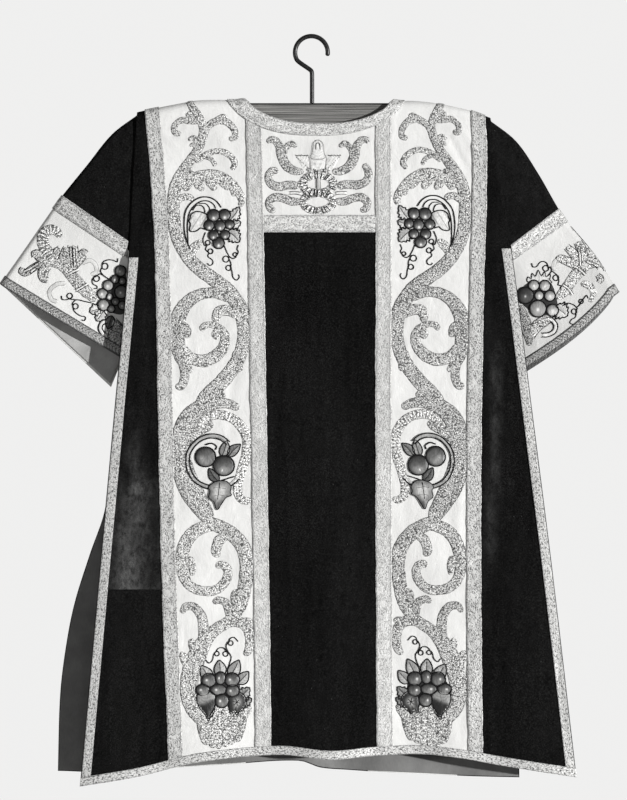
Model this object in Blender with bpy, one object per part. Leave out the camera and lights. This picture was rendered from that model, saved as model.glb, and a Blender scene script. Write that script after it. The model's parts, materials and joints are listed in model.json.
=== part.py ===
"""Black velvet dalmatic with silk orphreys and woven galloon, hanging flat on a straight wooden hanger.

Frame: metres, +Z up. The front of the garment faces -Y, and +X is on the right of somebody who looks at the front.
The origin is the inside of the top of the hanger's hook, where a rail or a wall hook carries it.
All sizes below are millimetres. "drop" is the distance below the origin, and x is the distance to the right of it.
"""

import math
from collections import namedtuple

import bpy
import numpy as np

MM = 0.001

# ---------------------------------------------------------------- driving sizes
CLOTH = 2.0          # velvet or silk with its interlining
LINING = 1.0         # lining cloth
GALLOON = 1.2        # woven braid
SEAM_GAP = 0.4       # between two pieces sewn edge to edge
LAY_GAP = 0.3        # under a piece that lies on a panel
NECK_LAY_GAP = 2.2   # under the neck galloon, which crosses the panels' seams at an angle
LINING_GAP = 1.1     # between a panel and its lining
TUCK_GAP = 1.0       # between a sleeve's end and the body panel it goes under
LINING_INSET = 7.5   # the lining stops this far inside the panel's edge beside the sleeves
LINING_INSET_LOW = 1.5   # and this far inside it lower down

SHOULDER_R = 9.5     # half the thickness of the folded shoulder, to the middle of the cloth
FRONT_BULGE = 31.0   # how far the front hangs out from the hanger at the hem
FRONT_BULGE_OVER = 330.0
BACK_BULGE = 5.0
BULGE_FROM = 118.0   # drop where the cloth leaves the hanger

SLIT = 341.0         # drop where the side slits begin, under the arms
SIDE_SEAM = 853.0    # drop of the joining seam across the side panels
APRON_TOP, APRON_END = 275.0, 302.0   # the galloon under the neck panel
OUTER_GALLOON, INNER_GALLOON = 23.0, 25.0
EDGE_GALLOON, HEM_GALLOON = 15.5, 14.0

NECK_X, NECK_HALF, NECK_DEEP = 11.0, 115.0, 41.4      # neck opening: middle, half width, length down from the shoulder line
COLLAR_X, COLLAR_HALF, COLLAR_DEEP = 6.0, 139.0, 61.0  # lower edge of the neck galloon
BACK_NECK_DEEP, BACK_COLLAR_DEEP = 33.0, 52.0

BAR_HALF, BAR_THICK, BAR_TOP, BAR_TALL, BAR_END_TALL, BAR_DROOP = 203.0, 9.0, 101.0, 44.0, 22.0, 9.0
WIRE_R, HOOK_R, HOOK_X, SHANK_X = 3.1, 25.4, -1.0, 0.0
HOOK_NECK = 51.0     # drop where the hook bends into its shank

# ---------------------------------------------------------------- tables, millimetres
Line = namedtuple("Line", "drop left_edge l_out l_in r_in r_out right_edge")
FRONT_LINES = [
    Line(97, -270, -261, -78, 98, 268, 272),
    Line(205, -276.2, -251, -76, 98, 271, 288.7),
    Line(341, -283.7, -243, -74, 98, 267, 310),
    Line(577, -305.0, -238, -70, 97.5, 262, 339.6),
    Line(825, -327.6, -232.5, -66, 98, 261, 370.7),
    Line(1160, -358.0, -220, -62, 100, 264, 409.6),
]
BACK_LINES = [
    Line(97, -270, -261, -78, 98, 268, 272),
    Line(205, -276, -252, -76, 98, 268, 288),
    Line(341, -281, -246, -74, 96, 262, 306),
    Line(577, -299, -244, -76, 90, 252, 315),
    Line(732, -322, -246, -80, 84, 245, 318),
    Line(800, -345, -247.5, -82, 82, 243.2, 318.7),
    Line(873, -368, -248.8, -84.2, 80, 241.5, 319.4),
    Line(933, -380.5, -250, -86, 78, 240, 320),
    Line(1016, -391, -251, -88, 76.5, 238.8, 320.8),
    Line(1150, -395, -253, -91, 74, 237, 322),
]
Edge = namedtuple("Edge", "x drop")
SHOULDER = [Edge(-275, 117), Edge(-256, 112.5), Edge(-205, 102.5), Edge(-174, 97.5), Edge(-118, 97), Edge(0, 97),
            Edge(133, 98.5), Edge(160, 98.5), Edge(198, 103), Edge(245, 113.5), Edge(280, 126)]
FRONT_HEM = [Edge(-360, 1157), Edge(-266, 1141), Edge(-174, 1119), Edge(-50, 1108), Edge(30, 1115), Edge(90, 1110),
             Edge(167, 1107), Edge(230, 1113), Edge(291, 1124), Edge(413, 1143)]
BACK_HEM = [Edge(-392, 1137), Edge(-300, 1139), Edge(-204, 1132), Edge(-130, 1127), Edge(-20, 1121), Edge(14, 1132),
            Edge(60, 1136), Edge(136, 1140), Edge(230, 1145), Edge(324, 1147)]
# A fold is a soft ridge (height > 0, outwards) or trough that runs up from the hem and dies away at its start.
Fold = namedtuple("Fold", "x_hem x_start start half_width height")
FRONT_FOLDS = [
    Fold(28, 5, 520, 80, 7), Fold(-75, -60, 640, 75, -4), Fold(152, 120, 560, 85, -5), Fold(-300, -270, 430, 95, 4),
    Fold(360, 310, 420, 110, 6), Fold(245, 240, 700, 70, 3), Fold(-180, -190, 560, 70, 3),
]
BACK_FOLDS = [
    Fold(-10, -20, 560, 60, -4), Fold(45, 25, 600, 55, 6), Fold(-200, -180, 640, 110, 6), Fold(210, 190, 500, 95, 6),
    Fold(-330, -290, 700, 80, -3), Fold(130, 120, 620, 60, -3),
]
# The sleeve's cross lines, from the shoulder to the cuff. Each runs from the fold on top of the arm to the lower end of its
# front half and of its back half. front_y and back_y are the depth of that end, given where it hangs free inside the slit.
# bow is how far the line curves outwards between its ends.
Row = namedtuple("Row", "fold_x fold_drop front_x front_drop back_x back_drop front_y back_y swell fold_r bow", defaults=(0,))
LEFT_SLEEVE = {
    "armhole": Row(-268.5, 117.6, -268.5, 131, -268.5, 131, None, None, 0, 5.5),
    "upper": Row(-310, 149, -272.3, 189, -272.3, 190, None, None, 1, 5.8),
    "middle": Row(-348.8, 197, -276, 254, -276, 257, None, None, 2, 6.2),
    "band_top": Row(-386.9, 244, -279.3, 318.5, -278.2, 324, None, None, 4, 6.8),
    "band_end": Row(-402, 264.7, -280.5, 345.6, -277.5, 354, -16, 5, 4, 7.0),
    "cuff_mid": Row(-443.3, 324, -280.5, 424.7, -278.5, 452, -7, 6, 3, 7.5),
    "cuff": Row(-483.6, 381.3, -285.2, 502.2, -312, 541, -5, 7, 3, 8.0),
}
RIGHT_SLEEVE = {
    "armhole": Row(272.4, 125.2, 272.4, 140, 272.4, 140, None, None, 0, 5.5),
    "upper": Row(316.2, 159.7, 284.0, 197, 283.2, 197, None, None, 1, 5.8),
    "middle": Row(350.3, 209.3, 293.6, 259, 292.0, 259, None, None, 2, 6.4),
    "band_top": Row(381.9, 264.3, 303.4, 324, 301.0, 323, None, None, 4, 7.4),
    "band_end": Row(396.8, 285.8, 306.0, 349, 303.0, 347, -16, 5, 4, 8.0),
    "cuff_mid": Row(440.2, 337.9, 302.3, 443.3, 300.0, 440, -8, 5.5, 5, 9.5, 3),
    "cuff": Row(475.4, 394.2, 296.0, 539.4, 299, 534, -6, 4, 6, 11.0, 12),
}

# ---------------------------------------------------------------- finishes
FINISH = {  # colour, roughness, metallic
    "velvet": ((0.010, 0.010, 0.011), 0.9, 0.0),
    "silk": ((0.76, 0.755, 0.74), 0.5, 0.0),
    "galloon": ((0.56, 0.555, 0.54), 0.42, 0.35),
    "lining": ((0.23, 0.228, 0.222), 0.85, 0.0),
    "wood": ((0.20, 0.185, 0.165), 0.6, 0.0),
    "iron": ((0.03, 0.03, 0.031), 0.4, 0.8),
}


def finish(name):
    found = bpy.data.materials.get(name)
    if found:
        return found
    colour, rough, metal = FINISH[name]
    made = bpy.data.materials.new(name)
    made.use_nodes = True
    shader = made.node_tree.nodes["Principled BSDF"]
    shader.inputs["Base Color"].default_value = (*colour, 1)
    shader.inputs["Roughness"].default_value = rough
    shader.inputs["Metallic"].default_value = metal
    return made


# ---------------------------------------------------------------- curves through table rows
def through(keys, values, at):
    """A smooth curve through the rows: cubic pieces whose slope at a row is that of the line past its neighbours."""
    k = len(keys) - 1
    at = min(max(at, keys[0]), keys[-1])
    j = min(max(next((n for n in range(k) if at <= keys[n + 1]), k - 1), 0), k - 1)

    def slope(n):
        a, b = max(n - 1, 0), min(n + 1, k)
        return (values[b] - values[a]) / (keys[b] - keys[a])

    h = keys[j + 1] - keys[j]
    t = (at - keys[j]) / h
    return ((1 + 2 * t) * (1 - t) ** 2 * values[j] + t * (1 - t) ** 2 * h * slope(j)
            + t * t * (3 - 2 * t) * values[j + 1] - t * t * (1 - t) * h * slope(j + 1))


def along(table, key, column, at):
    return through([getattr(r, key) for r in table], [getattr(r, column) for r in table], at)


def ease(t):
    t = min(max(t, 0.0), 1.0)
    return t * t * (3 - 2 * t)


def fold_depth(folds, x, drop):
    total = 0.0
    for f in folds:
        t = (drop - f.start) / (1150 - f.start)
        if t > 0:
            middle = f.x_start + (f.x_hem - f.x_start) * t
            u = (x - middle) / (f.half_width * (0.6 + 0.4 * t))
            if abs(u) < 1:
                total += f.height * ease(t) * math.cos(u * math.pi / 2) ** 2
    return total


Side = namedtuple("Side", "sign lines hem folds bulge neck_deep collar_deep")
FRONT = Side(-1, FRONT_LINES, FRONT_HEM, FRONT_FOLDS, FRONT_BULGE, NECK_DEEP, COLLAR_DEEP)
BACK = Side(1, BACK_LINES, BACK_HEM, BACK_FOLDS, BACK_BULGE, BACK_NECK_DEEP, BACK_COLLAR_DEEP)
QUARTER = math.pi / 2 * SHOULDER_R


def depth(side, x, drop):
    """How far the middle of the cloth stands out from the plane of the hanger."""
    hang = side.bulge * (1 - math.exp(-(max(0.0, drop - BULGE_FROM) / FRONT_BULGE_OVER) ** 1.15))
    return SHOULDER_R + hang + fold_depth(side.folds, x, drop)


def drop_of(x, s):
    """Drop of a point s below the shoulder line, measured along the cloth."""
    top = along(SHOULDER, "x", "drop", x)
    if s < QUARTER:
        return top + SHOULDER_R * (1 - math.cos(s / SHOULDER_R))
    return top + SHOULDER_R + s - QUARTER


def s_of(x, drop):
    return QUARTER + drop - along(SHOULDER, "x", "drop", x) - SHOULDER_R


def on_body(side, x, s):
    """The point of the front or back that lies at x and s below the shoulder line."""
    drop = drop_of(x, s)
    out = SHOULDER_R * math.sin(s / SHOULDER_R) if s < QUARTER else depth(side, x, drop)
    return np.array([x, side.sign * out, -drop])


def normal_at(side, x, s):
    """The outward direction of the front or back at this point."""
    across = on_body(side, x + 0.5, s) - on_body(side, x - 0.5, s)
    down = on_body(side, x, s + 0.2) - on_body(side, x, s - 0.2)
    n = np.cross(across, down) * side.sign
    return n / np.linalg.norm(n)


def neck_s(x, middle, half, deep):
    u = abs(x - middle) / half
    return deep * (1 - u ** 2.4) ** 0.7 if u < 1 else 0.0


# ---------------------------------------------------------------- the columns of the front and of the back
COLUMNS = ["edge_l", "trim_l", "side_l1", "side_l2", "lo1", "lo2", "lo3", "sl1", "sl2", "li1", "li2", "li3", "c1", "c2", "c3",
           "ri1", "ri2", "ri3", "sr1", "sr2", "ro1", "ro2", "ro3", "side_r1", "side_r2", "trim_r", "edge_r"]
COL = {n: i for i, n in enumerate(COLUMNS)}


def columns_at(side, drop):
    """x of each column at this drop, in the order of COLUMNS."""
    e = {c: along(side.lines, "drop", c, drop) for c in Line._fields[1:]}
    wide_l, wide_r = e["l_out"] - e["left_edge"], e["right_edge"] - e["r_out"]
    trim_l = e["left_edge"] + min(EDGE_GALLOON, 0.4 * wide_l)
    trim_r = e["right_edge"] - min(EDGE_GALLOON, 0.4 * wide_r)

    def between(a, b, n):
        return [a + (b - a) * (k + 1) / (n + 1) for k in range(n)]

    lo3, li1 = e["l_out"] + OUTER_GALLOON, e["l_in"] - INNER_GALLOON
    ri3, ro1 = e["r_in"] + INNER_GALLOON, e["r_out"] - OUTER_GALLOON
    return [e["left_edge"], trim_l, *between(trim_l, e["l_out"], 2), e["l_out"], e["l_out"] + OUTER_GALLOON / 2, lo3,
            *between(lo3, li1, 2), li1, e["l_in"] - INNER_GALLOON / 2, e["l_in"], *between(e["l_in"], e["r_in"], 3),
            e["r_in"], e["r_in"] + INNER_GALLOON / 2, ri3, *between(ri3, ro1, 2), ro1, e["r_out"] - OUTER_GALLOON / 2,
            e["r_out"], *between(e["r_out"], trim_r, 2), trim_r, e["right_edge"]]


TOP_SHARES_FRONT = [0, 0.03, 0.06, 0.09, 0.25, 0.6, 1]
TOP_SHARES_BACK = [0, 0.03, 0.06, 0.09, 0.25, 1]
DROPS_FRONT = [288.5, APRON_END, SLIT, 430, 520, 610, 705, SIDE_SEAM]
DROPS_BACK = [SLIT, 470, 600, 700, 775, 850, 935]
LOW_SHARES_FRONT, LOW_SHARES_BACK = [1 / 3, 2 / 3, 1], [0.5, 1]


def body_grid(side, top_shares, drops, low_shares):
    """The middle of the cloth as rows from the shoulder (or neck) to the hem and columns from edge to edge."""
    rows, outward = [], []
    for share in top_shares:
        row, out = [], []
        for c in range(len(COLUMNS)):
            x = columns_at(side, 110.0)[c]
            s = 0.0
            for _ in range(4):
                start = max(neck_s(x, NECK_X, NECK_HALF, side.neck_deep), SEAM_GAP / 2)
                s = start + share * (s_of(x, APRON_TOP) - start)
                x = columns_at(side, drop_of(x, s))[c]
            row.append(on_body(side, x, s))
            out.append(normal_at(side, x, s))
        rows.append(row)
        outward.append(out)
    for drop in drops:
        rows.append([on_body(side, x, s_of(x, drop)) for x in columns_at(side, drop)])
        outward.append([normal_at(side, x, s_of(x, drop)) for x in columns_at(side, drop)])
    last = drops[-1]
    for share in [*low_shares, None]:
        row, out = [], []
        for c in range(len(COLUMNS)):
            x, drop = columns_at(side, 1120.0)[c], 0.0
            for _ in range(4):
                end = along(side.hem, "x", "drop", x)
                drop = end if share is None else last + share * (end - HEM_GALLOON - last)
                x = columns_at(side, drop)[c]
            row.append(on_body(side, x, s_of(x, drop)))
            out.append(normal_at(side, x, s_of(x, drop)))
        rows.append(row)
        outward.append(out)
    return np.array(rows), np.array(outward)


def normals(grid):
    """Unit normals of a grid, from its own rows and columns."""
    down, across = np.gradient(grid, axis=0), np.gradient(grid, axis=1)
    n = np.cross(across, down)
    return n / np.linalg.norm(n, axis=2, keepdims=True)


def drawn_in(grid, sides, by):
    """The grid with the named borders moved inwards by this much, which leaves the gap at a seam."""
    g = grid.copy()
    for name in sides:
        if name == "left":
            step = g[:, 1] - g[:, 0]
            g[:, 0] += step / np.linalg.norm(step, axis=1, keepdims=True) * by
        if name == "right":
            step = g[:, -2] - g[:, -1]
            g[:, -1] += step / np.linalg.norm(step, axis=1, keepdims=True) * by
        if name == "top":
            step = g[1] - g[0]
            g[0] += step / np.linalg.norm(step, axis=1, keepdims=True) * by
        if name == "bottom":
            step = g[-2] - g[-1]
            g[-1] += step / np.linalg.norm(step, axis=1, keepdims=True) * by
    return g


ROOT = None


def add(name, mesh, material):
    mesh.materials.append(finish(material))
    obj = bpy.data.objects.new(name, mesh)
    bpy.context.scene.collection.objects.link(obj)
    obj.parent = ROOT
    return obj


def wall(name, grid, normal, inner, outer, material):
    """A closed wall between two offsets of a grid, with a rim all round."""
    rows, cols = grid.shape[:2]
    points = np.concatenate([(grid + normal * outer).reshape(-1, 3), (grid + normal * inner).reshape(-1, 3)]) * MM
    half = rows * cols
    faces = []
    for r in range(rows - 1):
        for c in range(cols - 1):
            a = r * cols + c
            faces.append((a, a + 1, a + cols + 1, a + cols))
            faces.append((a + half, a + cols + half, a + cols + 1 + half, a + 1 + half))
    rim = ([c for c in range(cols)] + [r * cols + cols - 1 for r in range(1, rows)]
           + [(rows - 1) * cols + c for c in range(cols - 2, -1, -1)] + [r * cols for r in range(rows - 2, 0, -1)])
    for a, b in zip(rim, rim[1:] + rim[:1]):
        faces.append((b, a, a + half, b + half))
    volume = 0.0
    for f in faces:
        for k in range(1, len(f) - 1):
            volume += np.dot(points[f[0]], np.cross(points[f[k]], points[f[k + 1]]))
    if volume < 0:
        faces = [f[::-1] for f in faces]
    mesh = bpy.data.meshes.new(name)
    mesh.from_pydata([tuple(p) for p in points], [], faces)
    mesh.update()
    mesh.shade_smooth()
    mesh.set_sharp_from_angle(angle=math.radians(50))
    return add(name, mesh, material)


# ---------------------------------------------------------------- front and back panels
def cut(grid, normal, rows, first, last):
    c0, c1 = COL[first], COL[last] + 1
    return grid[rows[0]:rows[1] + 1, c0:c1], normal[rows[0]:rows[1] + 1, c0:c1]


def panel(name, body, rows, first, last, seams, material):
    grid, normal = cut(*body, rows, first, last)
    wall(name, drawn_in(grid, seams, SEAM_GAP / 2), normal, -CLOTH / 2, CLOTH / 2, material)


def trim(name, body, rows, first, last, seams):
    grid, normal = cut(*body, rows, first, last)
    low = CLOTH / 2 + LAY_GAP
    wall(name, drawn_in(grid, seams, SEAM_GAP / 2), normal, low, low + GALLOON, "galloon")


def build_front():
    body = body_grid(FRONT, TOP_SHARES_FRONT, DROPS_FRONT, LOW_SHARES_FRONT)
    apron0 = len(TOP_SHARES_FRONT) - 1
    apron_seam, apron1, slit = apron0 + 1, apron0 + 2, apron0 + 3
    side_seam = apron0 + len(DROPS_FRONT)
    hem = len(body[0]) - 1
    for tag, outer, inner, edge in (("l", "edge_l", "lo2", "left"), ("r", "ro2", "edge_r", "right")):
        across = ["right"] if tag == "l" else ["left"]
        panel(f"front_side_upper_{tag}", body, (0, side_seam), outer, inner, [*across, "bottom"], "velvet")
        panel(f"front_side_lower_{tag}", body, (side_seam, hem), outer, inner, [*across, "top"], "velvet")
    panel("front_orphrey_l", body, (0, hem), "lo2", "li2", ["left", "right"], "silk")
    panel("front_orphrey_r", body, (0, hem), "ri2", "ro2", ["left", "right"], "silk")
    panel("front_apron", body, (0, apron_seam), "li2", "ri2", ["left", "right", "bottom"], "silk")
    panel("front_centre", body, (apron_seam, hem), "li2", "ri2", ["left", "right", "top"], "velvet")
    trim("front_galloon_l_outer", body, (0, hem - 1), "lo1", "lo3", ["bottom"])
    trim("front_galloon_l_inner", body, (3, hem - 1), "li1", "li3", ["right", "bottom"])
    trim("front_galloon_r_inner", body, (3, hem - 1), "ri1", "ri3", ["left", "bottom"])
    trim("front_galloon_r_outer", body, (0, hem - 1), "ro1", "ro3", ["bottom"])
    trim("front_galloon_apron", body, (apron0, apron1), "li3", "ri1", ["left", "right"])
    trim("front_galloon_edge_l", body, (slit, hem - 1), "edge_l", "trim_l", ["bottom"])
    trim("front_galloon_edge_r", body, (slit, hem - 1), "trim_r", "edge_r", ["bottom"])
    trim("front_galloon_hem", body, (hem - 1, hem), "edge_l", "edge_r", ["top"])


def build_back():
    body = body_grid(BACK, TOP_SHARES_BACK, DROPS_BACK, LOW_SHARES_BACK)
    grid, outward = body
    slit, hem = len(TOP_SHARES_BACK), len(grid) - 1
    panel("back_side_l", body, (0, hem), "edge_l", "lo2", ["right"], "velvet")
    panel("back_side_r", body, (0, hem), "ro2", "edge_r", ["left"], "velvet")
    panel("back_orphrey_l", body, (0, hem), "lo2", "li2", ["left", "right"], "silk")
    panel("back_orphrey_r", body, (0, hem), "ri2", "ro2", ["left", "right"], "silk")
    panel("back_centre", body, (0, hem), "li2", "ri2", ["left", "right"], "velvet")
    trim("back_galloon_l_outer", body, (0, hem - 1), "lo1", "lo3", ["bottom"])
    trim("back_galloon_l_inner", body, (3, hem - 1), "li1", "li3", ["bottom"])
    trim("back_galloon_r_inner", body, (3, hem - 1), "ri1", "ri3", ["bottom"])
    trim("back_galloon_r_outer", body, (0, hem - 1), "ro1", "ro3", ["bottom"])
    trim("back_galloon_edge_l", body, (slit, hem - 1), "edge_l", "trim_l", ["bottom"])
    trim("back_galloon_edge_r", body, (slit, hem - 1), "trim_r", "edge_r", ["bottom"])
    trim("back_galloon_hem", body, (hem - 1, hem), "edge_l", "edge_r", ["top"])
    kept = [COL[n] for n in COLUMNS if n not in ("lo2", "li2", "ri2", "ro2")]
    first = len(TOP_SHARES_BACK) - 1
    drops = -grid[:, len(COLUMNS) // 2, 2]
    by = np.interp(drops, [600, 700], [LINING_INSET, LINING_INSET_LOW])[:, None]
    inset = drawn_in(grid, ["left", "right"], by)
    inset = drawn_in(inset, ["bottom"], LINING_INSET_LOW)
    low = -CLOTH / 2 - LINING_GAP
    wall("lining_back", inset[first:, kept], outward[first:, kept], low - LINING, low, "lining")


def build_neck_galloon():
    """A ring of braid round the neck opening: its front and its back half, which meet on the shoulder line."""
    for tag, side in (("front", FRONT), ("back", BACK)):
        low, high = COLLAR_X - COLLAR_HALF + 1.5, COLLAR_X + COLLAR_HALF - 1.5
        stations = [COLLAR_X - (COLLAR_HALF - 1.5) * math.cos(math.pi * k / 24) for k in range(25)]
        ends = {NECK_X + sign * NECK_HALF * k for sign in (-1, 1) for k in (1, 0.985, 0.95)}
        stations = sorted(x for x in stations if min(abs(x - e) for e in ends) > 1.5)
        stations = sorted({min(max(x, low), high) for x in stations} | ends)
        rows, outward = [], []
        for share in (0, 0.2, 0.4, 0.6, 0.8, 1):
            row, out = [], []
            for x in stations:
                inner = max(neck_s(x, NECK_X, NECK_HALF, side.neck_deep), SEAM_GAP / 2)
                outer = max(neck_s(x, COLLAR_X, COLLAR_HALF, side.collar_deep), inner + 3)
                s = inner + share * (outer - inner)
                row.append(on_body(side, x, s))
                out.append(normal_at(side, x, s))
            rows.append(row)
            outward.append(out)
        low_face = CLOTH / 2 + NECK_LAY_GAP
        wall(f"neck_galloon_{tag}", np.array(rows), np.array(outward), low_face, low_face + GALLOON, "galloon")


# ---------------------------------------------------------------- sleeves
FLAP = [1, 0.8, 0.6, 0.4, 0.2]   # shares of a half's width, from its lower end towards the fold
TURN = [-90, -45, 0, 45, 90]     # round the fold on top of the arm


def sleeve_row(row):
    """The middle of the cloth from the front half's lower end, over the fold, to the back half's lower end."""
    fold = np.array([row.fold_x, -row.fold_drop])
    front, back = np.array([row.front_x, -row.front_drop]), np.array([row.back_x, -row.back_drop])
    to_front, to_back = (front - fold) / np.linalg.norm(front - fold), (back - fold) / np.linalg.norm(back - fold)
    outward = -(to_front + to_back)
    outward /= np.linalg.norm(outward)
    centre = fold - outward * (row.fold_r + CLOTH / 2)
    tuck = CLOTH + TUCK_GAP
    y_front = row.front_y if row.front_y is not None else -depth(FRONT, row.front_x, row.front_drop) + tuck
    y_back = row.back_y if row.back_y is not None else depth(BACK, row.back_x, row.back_drop) - tuck

    def flap(end, y_end, sign, share):
        along_it = (end - centre) / np.linalg.norm(end - centre)
        away = np.array([-along_it[1], along_it[0]]) * (-1 if along_it[0] > 0 else 1)
        p = centre + (end - centre) * share + away * row.bow * math.sin(math.pi * share ** 0.75)
        swell = row.swell * (1 if sign < 0 else 0.5)
        y = sign * row.fold_r + (y_end - sign * row.fold_r) * share ** 1.2 + sign * swell * math.sin(math.pi * share)
        return [p[0], y, p[1]]

    points = [flap(front, y_front, -1, b) for b in FLAP]
    for turn in TURN:
        a = math.radians(turn)
        p = centre + outward * row.fold_r * math.cos(a)
        points.append([p[0], row.fold_r * math.sin(a), p[1]])
    points += [flap(back, y_back, 1, b) for b in FLAP[::-1]]
    return points


def mixed(a, b, t):
    return Row(*(None if p is None or q is None else p + (q - p) * t for p, q in zip(a, b)))


def build_sleeve(tag, rows):
    whole = math.hypot(rows["cuff"].fold_x - rows["cuff_mid"].fold_x, rows["cuff"].fold_drop - rows["cuff_mid"].fold_drop)
    band_end = rows["band_end"]
    top_free = rows["band_top"]._replace(
        front_y=-depth(FRONT, rows["band_top"].front_x, rows["band_top"].front_drop) + CLOTH + TUCK_GAP,
        back_y=depth(BACK, rows["band_top"].back_x, rows["band_top"].back_drop) - CLOTH - TUCK_GAP)
    order = [rows["armhole"], rows["upper"], rows["middle"], rows["band_top"], mixed(top_free, band_end, 0.5), band_end,
             mixed(band_end, rows["cuff_mid"], 0.5), rows["cuff_mid"],
             mixed(rows["cuff_mid"], rows["cuff"], 1 - EDGE_GALLOON / whole), rows["cuff"]]
    grid = np.array([sleeve_row(r) for r in order])
    normal = normals(grid)
    if (normal[-1, 2] * np.array([0, -1, 0])).sum() < 0:
        normal = -normal
    half = CLOTH / 2
    upper = drawn_in(grid[:5], ["bottom"], SEAM_GAP / 2)
    lower = drawn_in(grid[4:], ["top"], SEAM_GAP / 2)
    wall(f"sleeve_{tag}", upper, normal[:5], -half, half, "velvet")
    wall(f"cuff_{tag}", lower, normal[4:], -half, half, "silk")
    lay = half + LAY_GAP
    band = drawn_in(grid, ["left", "right"], 9.0)
    wall(f"sleeve_galloon_{tag}", band[3:6], normal[3:6], lay, lay + GALLOON, "galloon")
    wall(f"cuff_galloon_{tag}", grid[8:10], normal[8:10], lay, lay + GALLOON, "galloon")
    back = len(FLAP) + len(TURN) - 1
    lining = drawn_in(grid[2:, back:], ["right"], 4.0)
    lining = drawn_in(lining, ["bottom"], 3.0)
    low = -half - LINING_GAP
    wall(f"lining_sleeve_{tag}", lining, normal[2:, back:], low - LINING, low, "lining")


# ---------------------------------------------------------------- hanger
def build_hanger():
    """A flat wooden bar with lowered ends, and a bent iron hook screwed into its top."""
    outline = []
    steps = 12
    for k in range(steps + 1):
        x = -BAR_HALF + 2 * BAR_HALF * k / steps
        u = abs(x) / BAR_HALF
        outline.append((x, BAR_TOP + BAR_DROOP * max(0.0, (u - 0.75) / 0.25) ** 2))
    lower = []
    for k in range(steps + 1):
        x = BAR_HALF - 2 * BAR_HALF * k / steps
        u = abs(x) / BAR_HALF
        top = BAR_TOP + BAR_DROOP * max(0.0, (u - 0.75) / 0.25) ** 2
        lower.append((x, top + BAR_END_TALL + (BAR_TALL - BAR_END_TALL) * (1 - u ** 2)))
    ring = outline + lower
    n = len(ring)
    points = [(x * MM, y * BAR_THICK / 2 * MM, -d * MM) for y in (-1, 1) for x, d in ring]
    faces = [tuple(range(n)), tuple(range(2 * n - 1, n - 1, -1))]
    faces += [(a + n, (a + 1) % n + n, (a + 1) % n, a) for a in range(n)]
    mesh = bpy.data.meshes.new("hanger_bar")
    mesh.from_pydata(points, [], faces)
    mesh.update()
    if volume_of(mesh) < 0:
        mesh.flip_normals()
    bar = add("hanger_bar", mesh, "wood")
    edge = bar.modifiers.new("rounded edges", "BEVEL")
    edge.width, edge.segments, edge.limit_method, edge.angle_limit = 0.002, 1, "ANGLE", math.radians(60)

    centre = np.array([HOOK_X, -(HOOK_R - WIRE_R)])
    path = [centre + HOOK_R * np.array([math.cos(math.radians(a)), math.sin(math.radians(a))])
            for a in np.linspace(-8, 212, 19)]
    neck, foot = np.array([SHANK_X, -HOOK_NECK]), np.array([SHANK_X, -(BAR_TOP - SEAM_GAP)])
    path += [path[-1] + (neck - path[-1]) * t for t in (0.35, 0.7, 0.9)]
    path += [neck + (foot - neck) * t for t in (0.06, 0.3, 0.65, 1)]
    curve = bpy.data.curves.new("hanger_hook", "CURVE")
    curve.dimensions = "3D"
    curve.bevel_depth, curve.bevel_resolution, curve.use_fill_caps = WIRE_R * MM, 2, True
    spline = curve.splines.new("POLY")
    spline.points.add(len(path) - 1)
    for point, p in zip(spline.points, path):
        point.co = (p[0] * MM, 0, p[1] * MM, 1)
    add("hanger_hook", curve, "iron")


def volume_of(mesh):
    total = 0.0
    for poly in mesh.polygons:
        v = [np.array(mesh.vertices[i].co) for i in poly.vertices]
        for k in range(1, len(v) - 1):
            total += np.dot(v[0], np.cross(v[k], v[k + 1]))
    return total


def main():
    global ROOT
    for obj in list(bpy.data.objects):
        bpy.data.objects.remove(obj)
    ROOT = bpy.data.objects.new("dalmatic", None)
    bpy.context.scene.collection.objects.link(ROOT)
    build_front()
    build_back()
    build_neck_galloon()
    build_sleeve("l", LEFT_SLEEVE)
    build_sleeve("r", RIGHT_SLEEVE)
    build_hanger()


main()
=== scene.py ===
"""Looks of a black velvet dalmatic with embroidered silk orphreys and woven galloon, hanging flat on a wooden hanger.

The garment's surfaces follow the same sizes and tables as its solids, in millimetres, at a finer pitch. "drop" is the
distance below the origin and x the distance to the right of it. The embroidery is charted in squares of 1.55 mm:
its tables give the middle line and width of each stroke, counted right and down from the garment's top left corner.
"""

import json
import math
from collections import namedtuple

import bpy
import numpy as np
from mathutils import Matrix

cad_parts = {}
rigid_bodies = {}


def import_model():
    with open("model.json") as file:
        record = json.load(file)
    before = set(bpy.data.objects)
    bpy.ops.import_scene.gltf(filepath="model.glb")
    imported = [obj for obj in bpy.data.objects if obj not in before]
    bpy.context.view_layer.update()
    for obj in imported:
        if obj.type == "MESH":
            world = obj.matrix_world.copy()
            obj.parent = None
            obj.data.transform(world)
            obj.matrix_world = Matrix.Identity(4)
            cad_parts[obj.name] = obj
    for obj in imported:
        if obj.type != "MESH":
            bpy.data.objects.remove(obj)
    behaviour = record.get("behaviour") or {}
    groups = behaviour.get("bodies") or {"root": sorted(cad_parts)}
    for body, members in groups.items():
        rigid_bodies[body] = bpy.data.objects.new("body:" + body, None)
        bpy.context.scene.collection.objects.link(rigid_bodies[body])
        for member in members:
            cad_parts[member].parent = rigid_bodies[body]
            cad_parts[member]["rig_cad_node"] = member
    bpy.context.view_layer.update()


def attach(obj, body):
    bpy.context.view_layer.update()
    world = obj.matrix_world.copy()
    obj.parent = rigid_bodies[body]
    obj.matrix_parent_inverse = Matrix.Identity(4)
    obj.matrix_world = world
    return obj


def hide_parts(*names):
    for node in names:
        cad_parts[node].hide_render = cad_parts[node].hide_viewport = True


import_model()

MM = 0.001
SQUARE = 1.55                     # size of a square of the embroidery's chart
COARSE = 1.5                      # every mesh pitch below is this much wider, to keep the whole under a million triangles
CHART_X, CHART_DROP = 312.0, 38.0  # the chart's square that lies on the origin

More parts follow.
